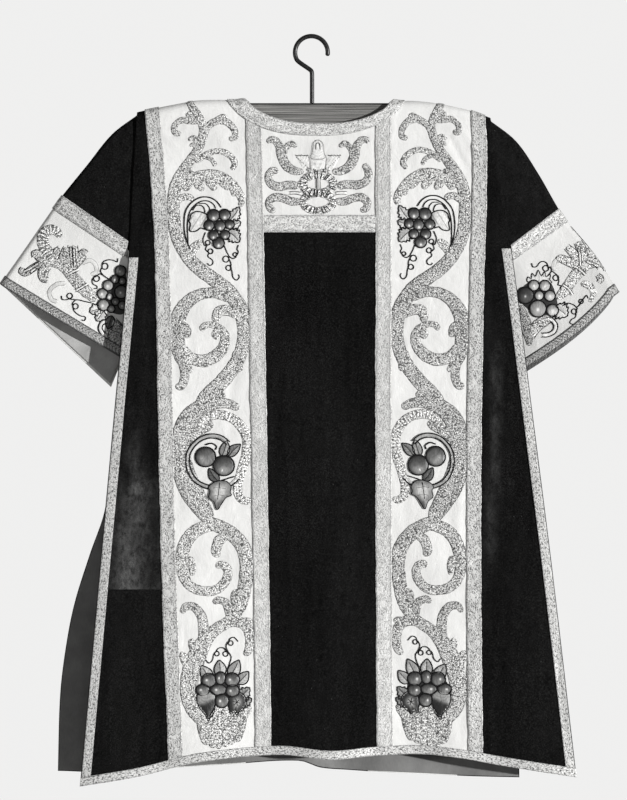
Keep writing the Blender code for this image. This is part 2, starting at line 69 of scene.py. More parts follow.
# ---------------------------------------------------------------- sizes, as in the solids
CLOTH, LINING, GALLOON = 2.0, 1.0, 1.2
SEAM_GAP, LAY_GAP, NECK_LAY_GAP, LINING_GAP, TUCK_GAP = 0.4, 0.3, 2.2, 1.1, 1.0
SHOULDER_R, FRONT_BULGE, FRONT_BULGE_OVER, BACK_BULGE, BULGE_FROM = 9.5, 31.0, 330.0, 5.0, 118.0
SLIT, SIDE_SEAM, APRON_TOP, APRON_END = 341.0, 853.0, 275.0, 302.0
OUTER_GALLOON, INNER_GALLOON, EDGE_GALLOON, HEM_GALLOON = 23.0, 25.0, 15.5, 14.0
NECK_X, NECK_HALF, NECK_DEEP = 11.0, 115.0, 41.4
COLLAR_X, COLLAR_HALF, COLLAR_DEEP = 6.0, 139.0, 61.0
BACK_NECK_DEEP, BACK_COLLAR_DEEP = 33.0, 52.0
BAR_TOP, WIRE_R, HOOK_R, HOOK_X, SHANK_X, HOOK_NECK = 101.0, 3.1, 25.4, -1.0, 0.0, 51.0
QUARTER = math.pi / 2 * SHOULDER_R

Line = namedtuple("Line", "drop left_edge l_out l_in r_in r_out right_edge")
FRONT_LINES = [
    Line(97, -270, -261, -78, 98, 268, 272),
    Line(205, -276.2, -251, -76, 98, 271, 288.7),
    Line(341, -283.7, -243, -74, 98, 267, 310),
    Line(577, -305.0, -238, -70, 97.5, 262, 339.6),
    Line(825, -327.6, -232.5, -66, 98, 261, 370.7),
    Line(1160, -358.0, -220, -62, 100, 264, 409.6),
]
BACK_LINES = [
    Line(97, -270, -261, -78, 98, 268, 272),
    Line(205, -276, -252, -76, 98, 268, 288),
    Line(341, -281, -246, -74, 96, 262, 306),
    Line(577, -299, -244, -76, 90, 252, 315),
    Line(732, -322, -246, -80, 84, 245, 318),
    Line(800, -345, -247.5, -82, 82, 243.2, 318.7),
    Line(873, -368, -248.8, -84.2, 80, 241.5, 319.4),
    Line(933, -380.5, -250, -86, 78, 240, 320),
    Line(1016, -391, -251, -88, 76.5, 238.8, 320.8),
    Line(1150, -395, -253, -91, 74, 237, 322),
]
Edge = namedtuple("Edge", "x drop")
SHOULDER = [Edge(-275, 117), Edge(-256, 112.5), Edge(-205, 102.5), Edge(-174, 97.5), Edge(-118, 97), Edge(0, 97),
            Edge(133, 98.5), Edge(160, 98.5), Edge(198, 103), Edge(245, 113.5), Edge(280, 126)]
FRONT_HEM = [Edge(-360, 1157), Edge(-266, 1141), Edge(-174, 1119), Edge(-50, 1108), Edge(30, 1115), Edge(90, 1110),
             Edge(167, 1107), Edge(230, 1113), Edge(291, 1124), Edge(413, 1143)]
BACK_HEM = [Edge(-392, 1137), Edge(-300, 1139), Edge(-204, 1132), Edge(-130, 1127), Edge(-20, 1121), Edge(14, 1132),
            Edge(60, 1136), Edge(136, 1140), Edge(230, 1145), Edge(324, 1147)]
Fold = namedtuple("Fold", "x_hem x_start start half_width height")
FRONT_FOLDS = [
    Fold(28, 5, 520, 80, 7), Fold(-75, -60, 640, 75, -4), Fold(152, 120, 560, 85, -5), Fold(-300, -270, 430, 95, 4),
    Fold(360, 310, 420, 110, 6), Fold(245, 240, 700, 70, 3), Fold(-180, -190, 560, 70, 3),
]
BACK_FOLDS = [
    Fold(-10, -20, 560, 60, -4), Fold(45, 25, 600, 55, 6), Fold(-200, -180, 640, 110, 6), Fold(210, 190, 500, 95, 6),
    Fold(-330, -290, 700, 80, -3), Fold(130, 120, 620, 60, -3),
]
Row = namedtuple("Row", "fold_x fold_drop front_x front_drop back_x back_drop front_y back_y swell fold_r bow", defaults=(0,))
LEFT_SLEEVE = {
    "armhole": Row(-268.5, 117.6, -268.5, 131, -268.5, 131, None, None, 0, 5.5),
    "upper": Row(-310, 149, -272.3, 189, -272.3, 190, None, None, 1, 5.8),
    "middle": Row(-348.8, 197, -276, 254, -276, 257, None, None, 2, 6.2),
    "band_top": Row(-386.9, 244, -279.3, 318.5, -278.2, 324, None, None, 4, 6.8),
    "band_end": Row(-402, 264.7, -280.5, 345.6, -277.5, 354, -16, 5, 4, 7.0),
    "cuff_mid": Row(-443.3, 324, -280.5, 424.7, -278.5, 452, -7, 6, 3, 7.5),
    "cuff": Row(-483.6, 381.3, -285.2, 502.2, -312, 541, -5, 7, 3, 8.0),
}
RIGHT_SLEEVE = {
    "armhole": Row(272.4, 125.2, 272.4, 140, 272.4, 140, None, None, 0, 5.5),
    "upper": Row(316.2, 159.7, 284.0, 197, 283.2, 197, None, None, 1, 5.8),
    "middle": Row(350.3, 209.3, 293.6, 259, 292.0, 259, None, None, 2, 6.4),
    "band_top": Row(381.9, 264.3, 303.4, 324, 301.0, 323, None, None, 4, 7.4),
    "band_end": Row(396.8, 285.8, 306.0, 349, 303.0, 347, -16, 5, 4, 8.0),
    "cuff_mid": Row(440.2, 337.9, 302.3, 443.3, 300.0, 440, -8, 5.5, 5, 9.5, 3),
    "cuff": Row(475.4, 394.2, 296.0, 539.4, 299, 534, -6, 4, 6, 11.0, 12),
}

# ---------------------------------------------------------------- small creases
# From one end to the other; half_width is where it has nearly died away, height is outwards.
Crease = namedtuple("Crease", "x0 drop0 x1 drop1 half_width height")
FRONT_CREASES = [
    Crease(205, 140, 244, 214, 6, -1.5), Crease(224, 128, 262, 190, 8, 1.1), Crease(-246, 128, -205, 176, 9, 1.0),
    Crease(-232, 150, -176, 150, 7, -0.7), Crease(-150, 130, -120, 210, 12, 0.8), Crease(-30, 200, 30, 260, 14, 0.7),
    Crease(40, 190, 78, 262, 11, -0.6), Crease(-206, 420, -196, 560, 14, 0.8), Crease(-118, 470, -128, 640, 13, -0.8),
    Crease(-222, 690, -206, 820, 12, 0.7), Crease(-108, 760, -104, 900, 12, 0.8), Crease(-200, 900, -176, 1080, 13, -0.9),
    Crease(118, 430, 128, 580, 12, 0.8), Crease(238, 380, 244, 520, 13, -0.8), Crease(232, 640, 220, 830, 12, 0.9),
    Crease(122, 850, 128, 1040, 13, -0.8), Crease(252, 930, 238, 1090, 11, 0.8), Crease(-50, 420, -30, 760, 22, 1.4),
    Crease(60, 380, 70, 900, 24, -1.5), Crease(10, 330, -10, 520, 18, 1.0), Crease(-36, 820, -44, 1090, 20, 1.6),
    Crease(84, 900, 86, 1095, 15, 1.4), Crease(-270, 380, -292, 640, 12, 1.4), Crease(-258, 650, -290, 900, 16, -1.4),
    Crease(-300, 900, -326, 1120, 18, 1.6), Crease(290, 400, 306, 640, 13, 1.4), Crease(316, 620, 340, 900, 18, -1.6),
    Crease(290, 820, 316, 1090, 17, 1.6), Crease(372, 900, 392, 1120, 13, -1.4), Crease(284, 180, 292, 300, 8, 1.0),
]
BACK_CREASES = [
    Crease(-250, 140, -180, 240, 12, 1.2), Crease(235, 140, 160, 250, 13, 1.3), Crease(-120, 180, -60, 330, 16, -1.3),
    Crease(90, 200, 40, 360, 18, 1.2), Crease(-30, 300, -20, 700, 22, 1.8), Crease(30, 420, 50, 900, 24, -1.8),
    Crease(-190, 420, -200, 760, 18, 1.6), Crease(-230, 700, -280, 1080, 20, -1.8), Crease(-330, 820, -352, 1110, 15, 1.8),
    Crease(190, 380, 180, 700, 17, 1.6), Crease(150, 720, 140, 1080, 20, -1.6), Crease(250, 500, 276, 900, 17, 1.6),
    Crease(290, 820, 300, 1110, 14, -1.6), Crease(-90, 760, -110, 1090, 20, 1.8), Crease(200, 840, 214, 1110, 15, 1.6),
    Crease(-268, 380, -276, 600, 12, -1.3),
]


# ---------------------------------------------------------------- curves and surfaces
class Curve:
    """A smooth curve through table rows, as the solids use it."""

    def __init__(self, keys, values):
        k, v = np.array(keys, float), np.array(values, float)
        m = np.empty(len(k))
        m[1:-1] = (v[2:] - v[:-2]) / (k[2:] - k[:-2])
        m[0], m[-1] = (v[1] - v[0]) / (k[1] - k[0]), (v[-1] - v[-2]) / (k[-1] - k[-2])
        self.k, self.v, self.m = k, v, m

    def __call__(self, at):
        at = np.clip(at, self.k[0], self.k[-1])
        j = np.clip(np.searchsorted(self.k, at, side="right") - 1, 0, len(self.k) - 2)
        h = self.k[j + 1] - self.k[j]
        t = (at - self.k[j]) / h
        return ((1 + 2 * t) * (1 - t) ** 2 * self.v[j] + t * (1 - t) ** 2 * h * self.m[j]
                + t * t * (3 - 2 * t) * self.v[j + 1] - t * t * (1 - t) * h * self.m[j + 1])


def ease(t):
    t = np.clip(t, 0, 1)
    return t * t * (3 - 2 * t)


def scatter(i, j, seed):
    """A fixed number from 0 to 1 for each whole i, j."""
    h = (i.astype(np.int64) * 374761393 + j.astype(np.int64) * 668265263 + seed * 974634777) & 0xFFFFFFFF
    h = ((h ^ (h >> 13)) * 1274126177) & 0xFFFFFFFF
    h = ((h ^ (h >> 16)) * 2246822519) & 0xFFFFFFFF
    return (h ^ (h >> 15)) / 4294967296.0


def noise(x, y, seed=0):
    """Smooth noise from -1 to 1 that varies over a distance of 1."""
    i, j = np.floor(x), np.floor(y)
    u, v = ease(x - i), ease(y - j)
    a, b = scatter(i, j, seed), scatter(i + 1, j, seed)
    c, d = scatter(i, j + 1, seed), scatter(i + 1, j + 1, seed)
    return 2 * ((a * (1 - u) + b * u) * (1 - v) + (c * (1 - u) + d * u) * v) - 1


shoulder = Curve([e.x for e in SHOULDER], [e.drop for e in SHOULDER])


def neck_s(x, middle, half, deep):
    u = np.minimum(np.abs(x - middle) / half, 1)
    return deep * (1 - u ** 2.4) ** 0.7


class Half:
    """The front or the back of the garment, as a surface over x and the distance s below the shoulder line."""

    def __init__(self, sign, lines, hem, folds, bulge, neck_deep, collar_deep, creases, seed):
        self.sign, self.folds, self.bulge, self.creases, self.seed = sign, folds, bulge, creases, seed
        self.neck_deep, self.collar_deep = neck_deep, collar_deep
        self.lines = {c: Curve([r.drop for r in lines], [getattr(r, c) for r in lines]) for c in Line._fields[1:]}
        self.hem = Curve([e.x for e in hem], [e.drop for e in hem])

    def detail(self, x, drop):
        total = np.zeros(np.broadcast(x, drop).shape)
        for c in self.creases:
            length = math.hypot(c.x1 - c.x0, c.drop1 - c.drop0)
            ux, ud = (c.x1 - c.x0) / length, (c.drop1 - c.drop0) / length
            t = ((x - c.x0) * ux + (drop - c.drop0) * ud) / length
            off = (x - c.x0) * ud - (drop - c.drop0) * ux
            bend = 0.12 * length * (t - 0.5) ** 2
            total += c.height * ease(t / 0.3) * ease((1 - t) / 0.3) * np.exp(-((off - bend) / (0.55 * c.half_width)) ** 2)
        soft = 0.5 * noise(x / 46, drop / 70, self.seed) + 0.25 * noise(x / 21 + 7, drop / 30, self.seed + 1)
        inside = ease((x - self.lines["l_out"](drop)) / 10) * ease((self.lines["r_out"](drop) - x) / 10)
        silk = inside * (1 - ease((x - self.lines["l_in"](drop)) / 6) * ease((self.lines["r_in"](drop) - x) / 6))
        pucker = silk * (0.30 * noise(x / 8.5, drop / 11, self.seed + 2) + 0.16 * noise(x / 4.6, drop / 5.2, self.seed + 3))
        return (total + soft + pucker) * ease((drop - shoulder(x) - SHOULDER_R) / 45)

    def depth(self, x, drop):
        hang = self.bulge * (1 - np.exp(-(np.maximum(0, drop - BULGE_FROM)
                                          / FRONT_BULGE_OVER) ** 1.15))
        total = np.zeros(np.broadcast(x, drop).shape)
        for f in self.folds:
            t = (drop - f.start) / (1150 - f.start)
            u = (x - (f.x_start + (f.x_hem - f.x_start) * t)) / (f.half_width * (0.6 + 0.4 * np.maximum(t, 0)))
            total += np.where((t > 0) & (np.abs(u) < 1), f.height * ease(t) * np.cos(np.clip(u, -1, 1) * math.pi / 2) ** 2, 0)
        return SHOULDER_R + hang + total + self.detail(x, drop)

    def drop_of(self, x, s):
        top = shoulder(x)
        return np.where(s < QUARTER, top + SHOULDER_R * (1 - np.cos(np.minimum(s, QUARTER) / SHOULDER_R)), top + SHOULDER_R + s - QUARTER)

    def s_of(self, x, drop):
        return QUARTER + drop - shoulder(x) - SHOULDER_R

    def at(self, x, s):
        x, s = np.broadcast_arrays(np.asarray(x, float), np.asarray(s, float))
        drop = self.drop_of(x, s)
        out = np.where(s < QUARTER, SHOULDER_R * np.sin(np.minimum(s, QUARTER) / SHOULDER_R), self.depth(x, drop))
        return np.stack([x, self.sign * out, -drop], -1)

    def normal(self, x, s):
        across = self.at(x + 0.6, s) - self.at(x - 0.6, s)
        down = self.at(x, s + 0.6) - self.at(x, s - 0.6)
        n = np.cross(across, down) * self.sign
        return n / np.linalg.norm(n, axis=-1, keepdims=True)

    def neck(self, x):
        return np.maximum(neck_s(x, NECK_X, NECK_HALF, self.neck_deep), SEAM_GAP / 2)

    def edge(self, name, shift=0.0):
        """A boundary of the panels, as x over drop."""
        line = self.lines[name]
        if name == "trim_l":
            return line
        return lambda drop: line(drop) + shift

    def trim(self, side, inner):
        """The side edge, or the inner side of the galloon that runs up it."""
        if side == "l":
            edge, far = self.lines["left_edge"], self.lines["l_out"]
            return lambda d: edge(d) + (np.minimum(EDGE_GALLOON, 0.4 * (far(d) - edge(d))) if inner else 0)
        edge, far = self.lines["right_edge"], self.lines["r_out"]
        return lambda d: edge(d) - (np.minimum(EDGE_GALLOON, 0.4 * (edge(d) - far(d))) if inner else 0)

    def drop_line(self, drop):
        return lambda x: self.s_of(x, drop)

    def hem_line(self, up=0.0):
        return lambda x: self.s_of(x, self.hem(x) - up)


FRONT = Half(-1, FRONT_LINES, FRONT_HEM, FRONT_FOLDS, FRONT_BULGE, NECK_DEEP, COLLAR_DEEP, FRONT_CREASES, 11)
BACK = Half(1, BACK_LINES, BACK_HEM, BACK_FOLDS, BACK_BULGE, BACK_NECK_DEEP, BACK_COLLAR_DEEP, BACK_CREASES, 29)


def back_hang(x, drop):
    """The back leaves the hanger, as its solids do, but here over the same distance as the front does."""
    return BACK_BULGE * (1 - np.exp(-(np.maximum(0, drop - BULGE_FROM) / FRONT_BULGE_OVER) ** 1.15))


def spread(size, pitch, rim=True):
    """Fractions from 0 to 1 at this pitch, with close lines at both rims for a rounded edge."""
    inner = np.linspace(0, 1, max(2, int(round(size / (COARSE * pitch))) + 1))
    if not rim:
        return inner
    close = np.array([0.35, 1.0]) / size
    keep = inner[(inner > 1.6 / size) & (inner < 1 - 1.6 / size)]
    return np.concatenate([[0], close, keep, 1 - close[::-1], [1]])


def patch(half, left, right, top, bottom, us, vs):
    """x and s on a grid between two side lines (x over drop) and two cross lines (s over x)."""
    u, v = np.meshgrid(us, vs)
    x = np.zeros_like(u) + left(np.full_like(u, 500.0)) * (1 - u) + right(np.full_like(u, 500.0)) * u
    s = None
    for _ in range(7):
        s = top(x) * (1 - v) + bottom(x) * v
        drop = half.drop_of(x, s)
        x = left(drop) * (1 - u) + right(drop) * u
    s = top(x) * (1 - v) + bottom(x) * v
    return x, s


# ---------------------------------------------------------------- meshes
ROOT_BODY = "root"
MADE = {}


def add(name, mesh, material, node=None):
    mesh.materials.append(material)
    obj = bpy.data.objects.new(name, mesh)
    bpy.context.scene.collection.objects.link(obj)
    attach(obj, ROOT_BODY)
    if node:
        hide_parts(node)
    MADE[name] = obj
    return obj


def mesh_of(name, points, quads, uv=None, tone=None, smooth=60):
    mesh = bpy.data.meshes.new(name)
    mesh.vertices.add(len(points))
    mesh.vertices.foreach_set("co", (np.asarray(points, float) * MM).astype(np.float32).ravel())
    loops = np.concatenate([np.asarray(q, np.int32) for q in quads])
    sizes = np.array([len(q) for q in quads], np.int32)
    mesh.loops.add(len(loops))
    mesh.loops.foreach_set("vertex_index", loops)
    mesh.polygons.add(len(quads))
    starts = np.concatenate([[0], np.cumsum(sizes)[:-1]]).astype(np.int32)
    mesh.polygons.foreach_set("loop_start", starts)
    mesh.update(calc_edges=True)
    mesh.validate()
    if uv is not None:
        layer = mesh.uv_layers.new(name="flat")
        layer.uv.foreach_set("vector", np.asarray(uv, np.float32)[loops].ravel())
    if tone is not None:
        attribute = mesh.attributes.new("tone", "FLOAT", "POINT")
        attribute.data.foreach_set("value", np.asarray(tone, np.float32))
    mesh.shade_smooth()
    if smooth:
        mesh.set_sharp_from_angle(angle=math.radians(smooth))
    return mesh


def grid_quads(rows, cols, base=0, flip=False):
    a = (np.arange(rows - 1)[:, None] * cols + np.arange(cols - 1)[None, :]).ravel() + base
    quads = np.stack([a, a + 1, a + cols + 1, a + cols], 1)
    return quads[:, ::-1] if flip else quads


def lengths(grid):
    """Distances across and along a grid, in metres, for its flat pattern."""
    across = np.zeros(grid.shape[:2])
    across[:, 1:] = np.cumsum(np.linalg.norm(np.diff(grid, axis=1), axis=2), axis=1)
    along = np.zeros(grid.shape[:2])
    along[1:] = np.cumsum(np.linalg.norm(np.diff(grid, axis=0), axis=2), axis=0)
    across -= across[:, -1:] / 2
    return across * MM, along * MM


def shell_arrays(grid, normal, inner, outer, relief=0.0, rim=0.75):
    """Points and faces of a closed shell between two offsets of a grid, thinner at its rim, with flat coordinates."""
    rows, cols = grid.shape[:2]
    edge = np.ones((rows, cols))
    for k, share in ((0, 1 - rim), (1, 0.86)):
        ring = np.zeros((rows, cols), bool)
        ring[k, :] = ring[-1 - k, :] = ring[:, k] = ring[:, -1 - k] = True
        edge[ring] = np.minimum(edge[ring], share)
    middle, half = (inner + outer) / 2, (outer - inner) / 2
    outside = grid + normal * (middle + half * edge + relief * (edge == 1))[..., None]
    inside = grid + normal * (middle - half * edge)[..., None]
    n = rows * cols
    points = np.concatenate([outside.reshape(-1, 3), inside.reshape(-1, 3)])
    rim_loop = np.concatenate([np.arange(cols), np.arange(1, rows) * cols + cols - 1,
                               (rows - 1) * cols + np.arange(cols - 2, -1, -1), np.arange(rows - 2, 0, -1) * cols])
    after = np.roll(rim_loop, -1)
    sides = np.stack([after, rim_loop, rim_loop + n, after + n], 1)
    quads = np.concatenate([grid_quads(rows, cols), grid_quads(rows, cols, n, True), sides])
    p = points
    a, b, c, d = (p[quads[:, k]] for k in range(4))
    volume = (np.einsum("ij,ij->i", a, np.cross(b, c)) + np.einsum("ij,ij->i", a, np.cross(c, d))).sum()
    if volume < 0:
        quads = quads[:, ::-1]
    across, along = lengths(grid)
    uv = np.stack([across.ravel(), along.ravel()], 1)
    return points, quads, np.concatenate([uv, uv]), (across, along)


def cloth(name, node, grid, normal, inner, outer, material, relief=0.0, tone=None):
    points, quads, uv, (across, along) = shell_arrays(grid, normal, inner, outer, relief)
    both = None if tone is None else np.concatenate([tone.ravel(), tone.ravel()])
    obj = add(name, mesh_of(name, points, quads, uv, both), material, node)
    wide, tall = float(across.max() * 2), float(along.max())
    wide, tall = max(wide, 0.011), max(tall, 0.011)
    return obj


def panel(name, half, left, right, top, bottom, pitch, size, layer, material, relief=None, tone=None):
    x, s = patch(half, left, right, top, bottom, spread(size[0], pitch), spread(size[1], pitch))
    grid, normal = half.at(x, s), half.normal(x, s)
    raised = 0.0
    if relief:
        across, along = lengths(grid)
        raised = relief(across / MM, along / MM)
    marked = None if tone is None else tone(x, half.drop_of(x, s))
    return cloth(name + "_fine", name, grid, normal, layer[0], layer[1], material, raised, marked)


# ---------------------------------------------------------------- materials
class Nodes:
    """A material's node tree, with short calls for the nodes that these materials use."""

    def __init__(self, name):
        self.material = bpy.data.materials.new(name)
        self.material.use_nodes = True
        self.tree = self.material.node_tree
        self.shader = self.tree.nodes["Principled BSDF"]
        self.place = self.node("ShaderNodeTexCoord").outputs["Object"]

    def node(self, kind, **values):
        made = self.tree.nodes.new(kind)
        for key, value in values.items():
            if key in made.inputs:
                made.inputs[key].default_value = value
            else:
                setattr(made, key, value)
        return made

    def link(self, a, b):
        self.tree.links.new(a, b)

    def flat(self):
        return self.node("ShaderNodeUVMap", uv_map="flat").outputs["UV"]

    def tone(self):
        return self.node("ShaderNodeAttribute", attribute_name="tone").outputs["Fac"]

    def scaled(self, vector, scale, turn=0.0):
        made = self.node("ShaderNodeMapping")
        made.inputs["Scale"].default_value = scale
        made.inputs["Rotation"].default_value = (0, 0, turn)
        self.link(vector, made.inputs["Vector"])
        return made.outputs["Vector"]

    def noise(self, vector, scale, detail=2.0, rough=0.5, distortion=0.0):
        made = self.node("ShaderNodeTexNoise", Scale=scale, Detail=detail, Roughness=rough, Distortion=distortion)
        self.link(vector, made.inputs["Vector"])
        return made.outputs["Fac"]

    def cells(self, vector, scale, feature="F1", random=1.0):
        made = self.node("ShaderNodeTexVoronoi", Scale=scale, Randomness=random)
        made.feature = feature
        self.link(vector, made.inputs["Vector"])
        return made.outputs["Distance"]

    def wave(self, vector, scale, direction="X", distortion=0.0, detail_scale=1.0, profile="SIN"):
        made = self.node("ShaderNodeTexWave", Scale=scale, Distortion=distortion)
        made.inputs["Detail Scale"].default_value = detail_scale
        made.bands_direction, made.wave_profile = direction, profile
        self.link(vector, made.inputs["Vector"])
        return made.outputs["Fac"]

    def math(self, operation, a, b=0.5, clamp=False):
        made = self.node("ShaderNodeMath", operation=operation)
        made.use_clamp = clamp
        for k, value in enumerate((a, b)):
            if isinstance(value, (int, float)):
                made.inputs[k].default_value = value
            else:
                self.link(value, made.inputs[k])
        return made.outputs["Value"]

    def ramp(self, value, low, high, a=0.0, b=1.0):
        made = self.node("ShaderNodeMapRange")
        made.inputs["From Min"].default_value, made.inputs["From Max"].default_value = low, high
        made.inputs["To Min"].default_value, made.inputs["To Max"].default_value = a, b
        self.link(value, made.inputs["Value"])
        return made.outputs["Result"]

    def colour(self, value, stops):
        made = self.node("ShaderNodeValToRGB")
        ramp = made.color_ramp
        while len(ramp.elements) < len(stops):
            ramp.elements.new(0.5)
        for element, (at, grey) in zip(ramp.elements, stops):
            element.position, element.color = at, (*(grey if hasattr(grey, "__len__") else warm(grey)), 1)
        self.link(value, made.inputs["Fac"])
        return made.outputs["Color"]

    def times(self, a, b, share=1.0):
        made = self.node("ShaderNodeMix", data_type="RGBA", blend_type="MULTIPLY")
        made.inputs[0].default_value = share
        self.link(a, made.inputs[6])
        self.link(b, made.inputs[7])
        return made.outputs[2]

    def blend(self, a, b, share):
        made = self.node("ShaderNodeMix", data_type="RGBA")
        if isinstance(share, (int, float)):
            made.inputs[0].default_value = share
        else:
            self.link(share, made.inputs[0])
        self.link(a, made.inputs[6])
        self.link(b, made.inputs[7])
        return made.outputs[2]

    def bump(self, heights):
        """Stacked bumps from (height output, strength, distance in metres)."""
        last = None
        for height, strength, distance in heights:
            made = self.node("ShaderNodeBump", Strength=strength, Distance=distance)
            self.link(height, made.inputs["Height"])
            if last:
                self.link(last, made.inputs["Normal"])
            last = made.outputs["Normal"]
        self.link(last, self.shader.inputs["Normal"])

    def finish(self, colour, rough, metal=0.0, sheen=0.0, sheen_rough=0.4, specular=0.5):
        self.link(colour, self.shader.inputs["Base Color"])
        if isinstance(rough, (int, float)):
            self.shader.inputs["Roughness"].default_value = rough
        else:
            self.link(rough, self.shader.inputs["Roughness"])
        self.shader.inputs["Metallic"].default_value = metal
        self.shader.inputs["Sheen Weight"].default_value = sheen
        self.shader.inputs["Sheen Roughness"].default_value = sheen_rough
        self.shader.inputs["Specular IOR Level"].default_value = specular
        return self.material


def warm(grey):
    return (grey, grey * 0.998, grey * 0.988)


def velvet_material():
    n = Nodes("black_velvet")
    pile = n.noise(n.place, 1500, 2, 0.6)
    nap = n.noise(n.scaled(n.place, (60, 60, 9)), 1.0, 4, 0.6)
    streak = n.noise(n.scaled(n.place, (120, 120, 70)), 1.0, 5, 0.72, 0.4)
    streak = n.ramp(streak, 0.36, 0.66)
    rubbed = n.math("MULTIPLY", n.tone(), n.math("ADD", n.math("MULTIPLY", streak, 0.85), 0.20), clamp=True)
    grit = n.noise(n.place, 520, 2, 0.7)
    base = n.times(n.colour(nap, [(0.3, 0.0030), (0.75, 0.0062)]), n.colour(grit, [(0.32, 0.15), (0.5, 0.75), (0.68, 2.6)]))
    worn = n.colour(pile, [(0.35, 0.045), (0.7, 0.13)])
    dark = n.blend(base, worn, rubbed)
    # lint: a few short pale threads and specks caught in the pile
    lint = n.math("LESS_THAN", n.cells(n.scaled(n.place, (1, 1, 0.55)), 120), 0.045)
    some = n.math("GREATER_THAN", n.noise(n.place, 38, 2), 0.60)
    pale = n.node("ShaderNodeRGB")
    pale.outputs[0].default_value = (0.075, 0.075, 0.073, 1)
    colour = n.blend(dark, pale.outputs[0], n.math("MULTIPLY", lint, some))
    n.bump([(nap, 0.25, 0.0015), (pile, 0.5, 0.0006)])
    return n.finish(colour, 0.95, 0.0, 0.006, 0.30, 0.03)


def silk_material(name="ivory_silk", painted_light_scale=1.0, fold=None):
    """Ivory silk; the number after the name scales the ground's grey, to paint a copy lighter or darker as painted
    light and shade. fold = (x0, x1): painted shade, greyer from x0 towards x1, in blotches.
    """
    n = Nodes(name)
    flat = n.flat()
    weft = n.wave(n.scaled(flat, (900, 900, 900)), 1.0, "Y", 0.6, 3.0)
    warp = n.noise(n.scaled(flat, (1400, 60, 1)), 1.0, 3, 0.6)
    cloud = n.noise(n.place, 14, 4, 0.6)
    crease = n.noise(n.scaled(n.place, (1, 1, 0.6)), 42, 4, 0.65, 0.6)
    spots = n.math("LESS_THAN", n.cells(n.place, 60), 0.035)
    rare = n.math("GREATER_THAN", n.noise(n.place, 21, 1), 0.66)
    ground = n.colour(cloud, [(0.25, 0.60 * painted_light_scale), (0.6, 0.67 * painted_light_scale), (0.85, 0.70 * painted_light_scale)])
    threads = n.colour(warp, [(0.3, 0.90), (0.7, 1.0)])
    stain = n.node("ShaderNodeRGB")
    stain.outputs[0].default_value = (0.40, 0.398, 0.39, 1)
    colour = n.blend(n.times(ground, threads), stain.outputs[0], n.math("MULTIPLY", n.math("MULTIPLY", spots, rare), 0.7))
    # Painted shade: the silk is painted greyer, in blotches, from the first x towards the second, where the cuff's fold
    # faces the lamp.
    if fold:
        split = n.node("ShaderNodeSeparateXYZ")
        n.link(n.place, split.inputs[0])
        painted_shade_share = n.math("MULTIPLY", n.ramp(split.outputs["X"], *fold), n.ramp(n.noise(n.place, 34, 3), 0.25, 0.65, 0.55, 1.0))
        painted_shade_grey = n.node("ShaderNodeRGB")
        painted_shade_grey.outputs[0].default_value = (0.42, 0.418, 0.41, 1)
        colour = n.blend(colour, painted_shade_grey.outputs[0], painted_shade_share)
    n.bump([(crease, 0.5, 0.0024), (warp, 0.25, 0.0003), (weft, 0.18, 0.0002)])
    return n.finish(colour, 0.56, 0.0, 0.10, 0.5, 0.35)


